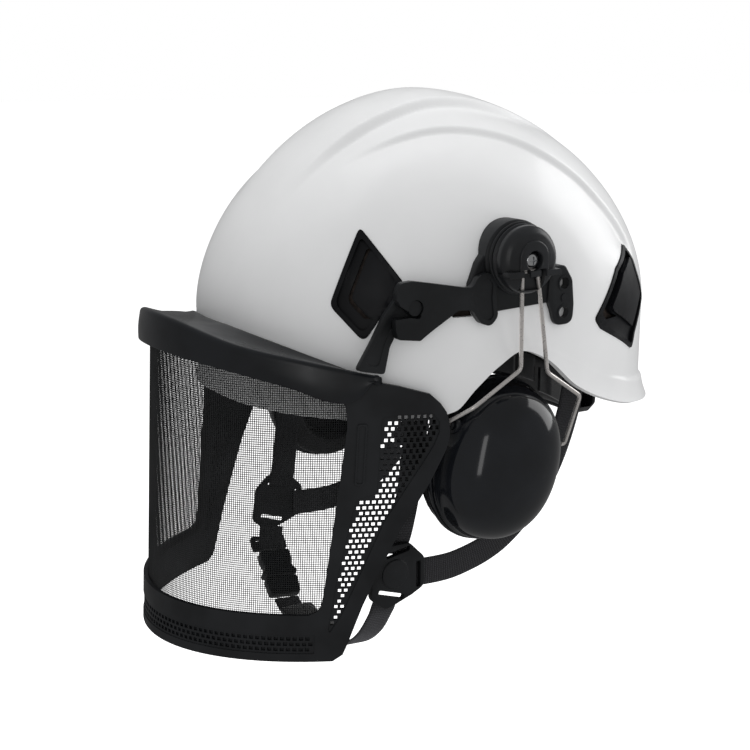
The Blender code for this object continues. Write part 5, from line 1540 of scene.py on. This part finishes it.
DIVIDER_X = 73.6
divider = prism("strap_divider_left_visual", rounded([(-69, -92), (-60, -84), (-47, -84), (-37, -94),
                                                      (-37, -111), (-45, -115), (-62, -121),
                                                      (-72, -113)], 5),
                along_x, DIVIDER_X - 1.0, DIVIDER_X + 2.6, BRACKET_BLACK)
for outline in ([(-61.5, -88.5), (-46.5, -85.7), (-46.9, -88.4), (-62, -91.2)],
                [(-42.4, -96), (-39.6, -96), (-39.6, -111), (-42.4, -111)],
                [(-67, -111.2), (-51, -116.4), (-50.2, -113.8), (-66.2, -108.6)]):
    cut(divider, rounded(outline, 0.8, 3), along_x, 60, 90)
combine(divider, axle("disc", DIVIDER_X + 2.0, DIVIDER_X + 3.6, 8.6, (-56.5, -100.5),
                     radius_end=8.2), "UNION")
bevelled(divider, 0.7, 3, 50)
pair(divider, "helmet", "bracket_black", "strap_divider_%s")

chin_straps = (
    ("left", [(71.6, -60, -117), (69.0, -62, -126), (60, -64, -140), (46, -66, -151), (28, -67.5, -157.5),
              (10.0, -68, -160), (-7.7, -68, -160)], (Vector((0, 1, 0.1)), Vector((0.1, 1, 0)), Y)),
    ("right", [(-71.6, -60, -117), (-70.0, -61.5, -123), (-66.0, -62.7, -131)], (Vector((0, 1, 0.1)), Y)),
    ("middle", [(-39.4, -66.3, -154.2), (-28, -67.3, -157.8), (-8.0, -68, -160)], (Y, Y)))
for part, path, across in chin_straps:
    strap = ribbon("chin_strap_%s_visual" % part, path, across, STRAP_WIDTH, STRAP_THICK, WEBBING)
    place(strap, "helmet", "webbing", "chin_strap_%s" % part)


def chin_pad_point(u, v):
    x = lerp(-25, 26, u)
    t = (x / 40) ** 2
    return Vector((x, -68.0 + 0.6 * t + (v - 0.5) * 22, -156.2 + 5.2 * t))


chin_pad = slab("chin_pad_visual", chin_pad_point, 30, 12, 2.2, PAD_FABRIC, outside=(0, -68, -100))
stuffed(chin_pad, 1.5, 6.0, 0.7)
place(chin_pad, "helmet", "pad_fabric", "chin_pad", padded=0.5, angle=80)

BUCKLE_A, BUCKLE_B = Vector((-65.2, -62.8, -132.4)), Vector((-40.4, -66.2, -153.6))
DOWN = (BUCKLE_B - BUCKLE_A).normalized()
OUT = Y.cross(DOWN).normalized()
ACROSS = DOWN.cross(OUT).normalized()
buckle_length = (BUCKLE_B - BUCKLE_A).length


def buckle_place(u, v, w):
    return BUCKLE_A + DOWN * u + ACROSS * v + OUT * w


socket = prism("buckle_socket_visual", rounded([(0.4, -10), (0.4, 10), (6, 10.4), (12, 9.0), (17, 12),
                                                (19, 9), (19, -9), (17, -12), (12, -9.0), (6, -10.4)], 2),
               buckle_place, -3.8, 3.8, GLOSS_BLACK)
bevelled(socket, 1.0, 3, 50)
cut(socket, [(5, -8.4), (5, 8.4), (30, 8.4), (30, -8.4)], buckle_place, -2.2, 2.2)
cut(socket, rounded([(3.4, -6), (3.4, 6), (13, 5), (13, -5)], 1.6), buckle_place, 3.3, 6)
place(socket, "helmet", "gloss_black", "buckle_socket")
plug = prism("buckle_plug_visual", rounded([(19.6, -11), (19.6, 11), (buckle_length - 1, 10),
                                            (buckle_length - 1, -10)], 2), buckle_place, -3.0, 3.0,
             GLOSS_BLACK)
bevelled(plug, 0.8, 3, 50)
for low, high in ((-7.8, -4.6), (-1.4, 1.4), (4.6, 7.8)):
    cut(plug, [(7, low), (7, high), (22, high), (22, low)], buckle_place, -1.7, 1.7, "UNION")
place(plug, "helmet", "gloss_black", "buckle_plug")
adjuster = prism("strap_adjuster_visual", rounded([(-13, -11.5), (-13, 11.5), (-3, 11.5), (-3, -11.5)], 1.5),
                 buckle_place, 1.4, 4.4, BRACKET_BLACK)
cut(adjuster, [(-11.4, -8.6), (-11.4, 8.6), (-9.2, 8.6), (-9.2, -8.6)], buckle_place, -3, 9)
bevelled(adjuster, 0.6, 3, 50)
place(adjuster, "helmet", "bracket_black", "strap_adjuster")
bpy.data.objects.remove(block, do_unlink=True)


# ================================================================ stage, light and camera
def area(name, location, target, size, power_w, mirrored_in_gloss=True):
    data = bpy.data.lights.new(name, "AREA")
    data.shape = "RECTANGLE"
    data.size, data.size_y = size
    data.energy = power_w
    light = bpy.data.objects.new(name, data)
    light.location = location
    light.rotation_euler = (Vector(target) - Vector(location)).to_track_quat("-Z", "Y").to_euler()
    light.visible_glossy = mirrored_in_gloss
    scene.collection.objects.link(light)


FLOOR_Z_M, FLOOR_HALF_M = -0.62, 30.0
bm = bmesh.new()
bmesh.ops.create_grid(bm, x_segments=2, y_segments=2, size=FLOOR_HALF_M)
mesh = bpy.data.meshes.new("floor")
bm.to_mesh(mesh)
bm.free()
floor = bpy.data.objects.new("floor", mesh)
floor.location = (0, 0, FLOOR_Z_M)
scene.collection.objects.link(floor)
floor_mat, floor_bsdf = nodes_of("floor_pale", (0.9, 0.9, 0.9), 0.9, specular=0.1)[::2]
floor_bsdf.inputs["Emission Color"].default_value = (1, 1, 1, 1)
floor_bsdf.inputs["Emission Strength"].default_value = 0.6
mesh.materials.append(floor_mat)
floor.visible_diffuse = False
floor.visible_glossy = False

# white all round for the camera, soft grey for the light that it throws, darker in reflections
world = scene.world or bpy.data.worlds.new("World")
scene.world = world
world.use_nodes = True
tree = world.node_tree
background = tree.nodes["Background"]
rays = node(tree, "ShaderNodeLightPath")
GLOW, GLOW_IN_GLOSS = 0.62, 0.20
gloss_drop = math_node(tree, "MULTIPLY", rays.outputs["Is Glossy Ray"], GLOW_IN_GLOSS - GLOW)
glow = math_node(tree, "ADD", gloss_drop, GLOW)
tree.links.new(math_node(tree, "MAXIMUM", rays.outputs["Is Camera Ray"], glow), background.inputs["Strength"])
background.inputs["Color"].default_value = (1, 1, 1, 1)

TARGET, CAMERA_AT = Vector((0.0, -0.0245, -0.007)), Vector((0.6620, -0.4129, 0.1716))
LENS_MM, SENSOR_MM = 63.5, 36.0
area("top", (-0.45, 0.2, 1.9), TARGET, (1.1, 1.1), 21, False)
area("key", (0.15, 1.9, 0.7), TARGET, (1.3, 1.3), 9.5)
area("low_right", (0.7, 1.4, -0.45), TARGET, (1.0, 0.5), 7, False)
area("side_strip", (1.5, -1.1, 0.35), TARGET, (0.3, 1.2), 2.0)

camera_data = bpy.data.cameras.new("camera")
camera_data.lens = LENS_MM
camera_data.sensor_width = SENSOR_MM
camera = bpy.data.objects.new("camera", camera_data)
camera.location = CAMERA_AT
camera.rotation_euler = (TARGET - camera.location).to_track_quat("-Z", "Y").to_euler()
scene.collection.objects.link(camera)
scene.camera = camera
scene.view_settings.view_transform = "Standard"
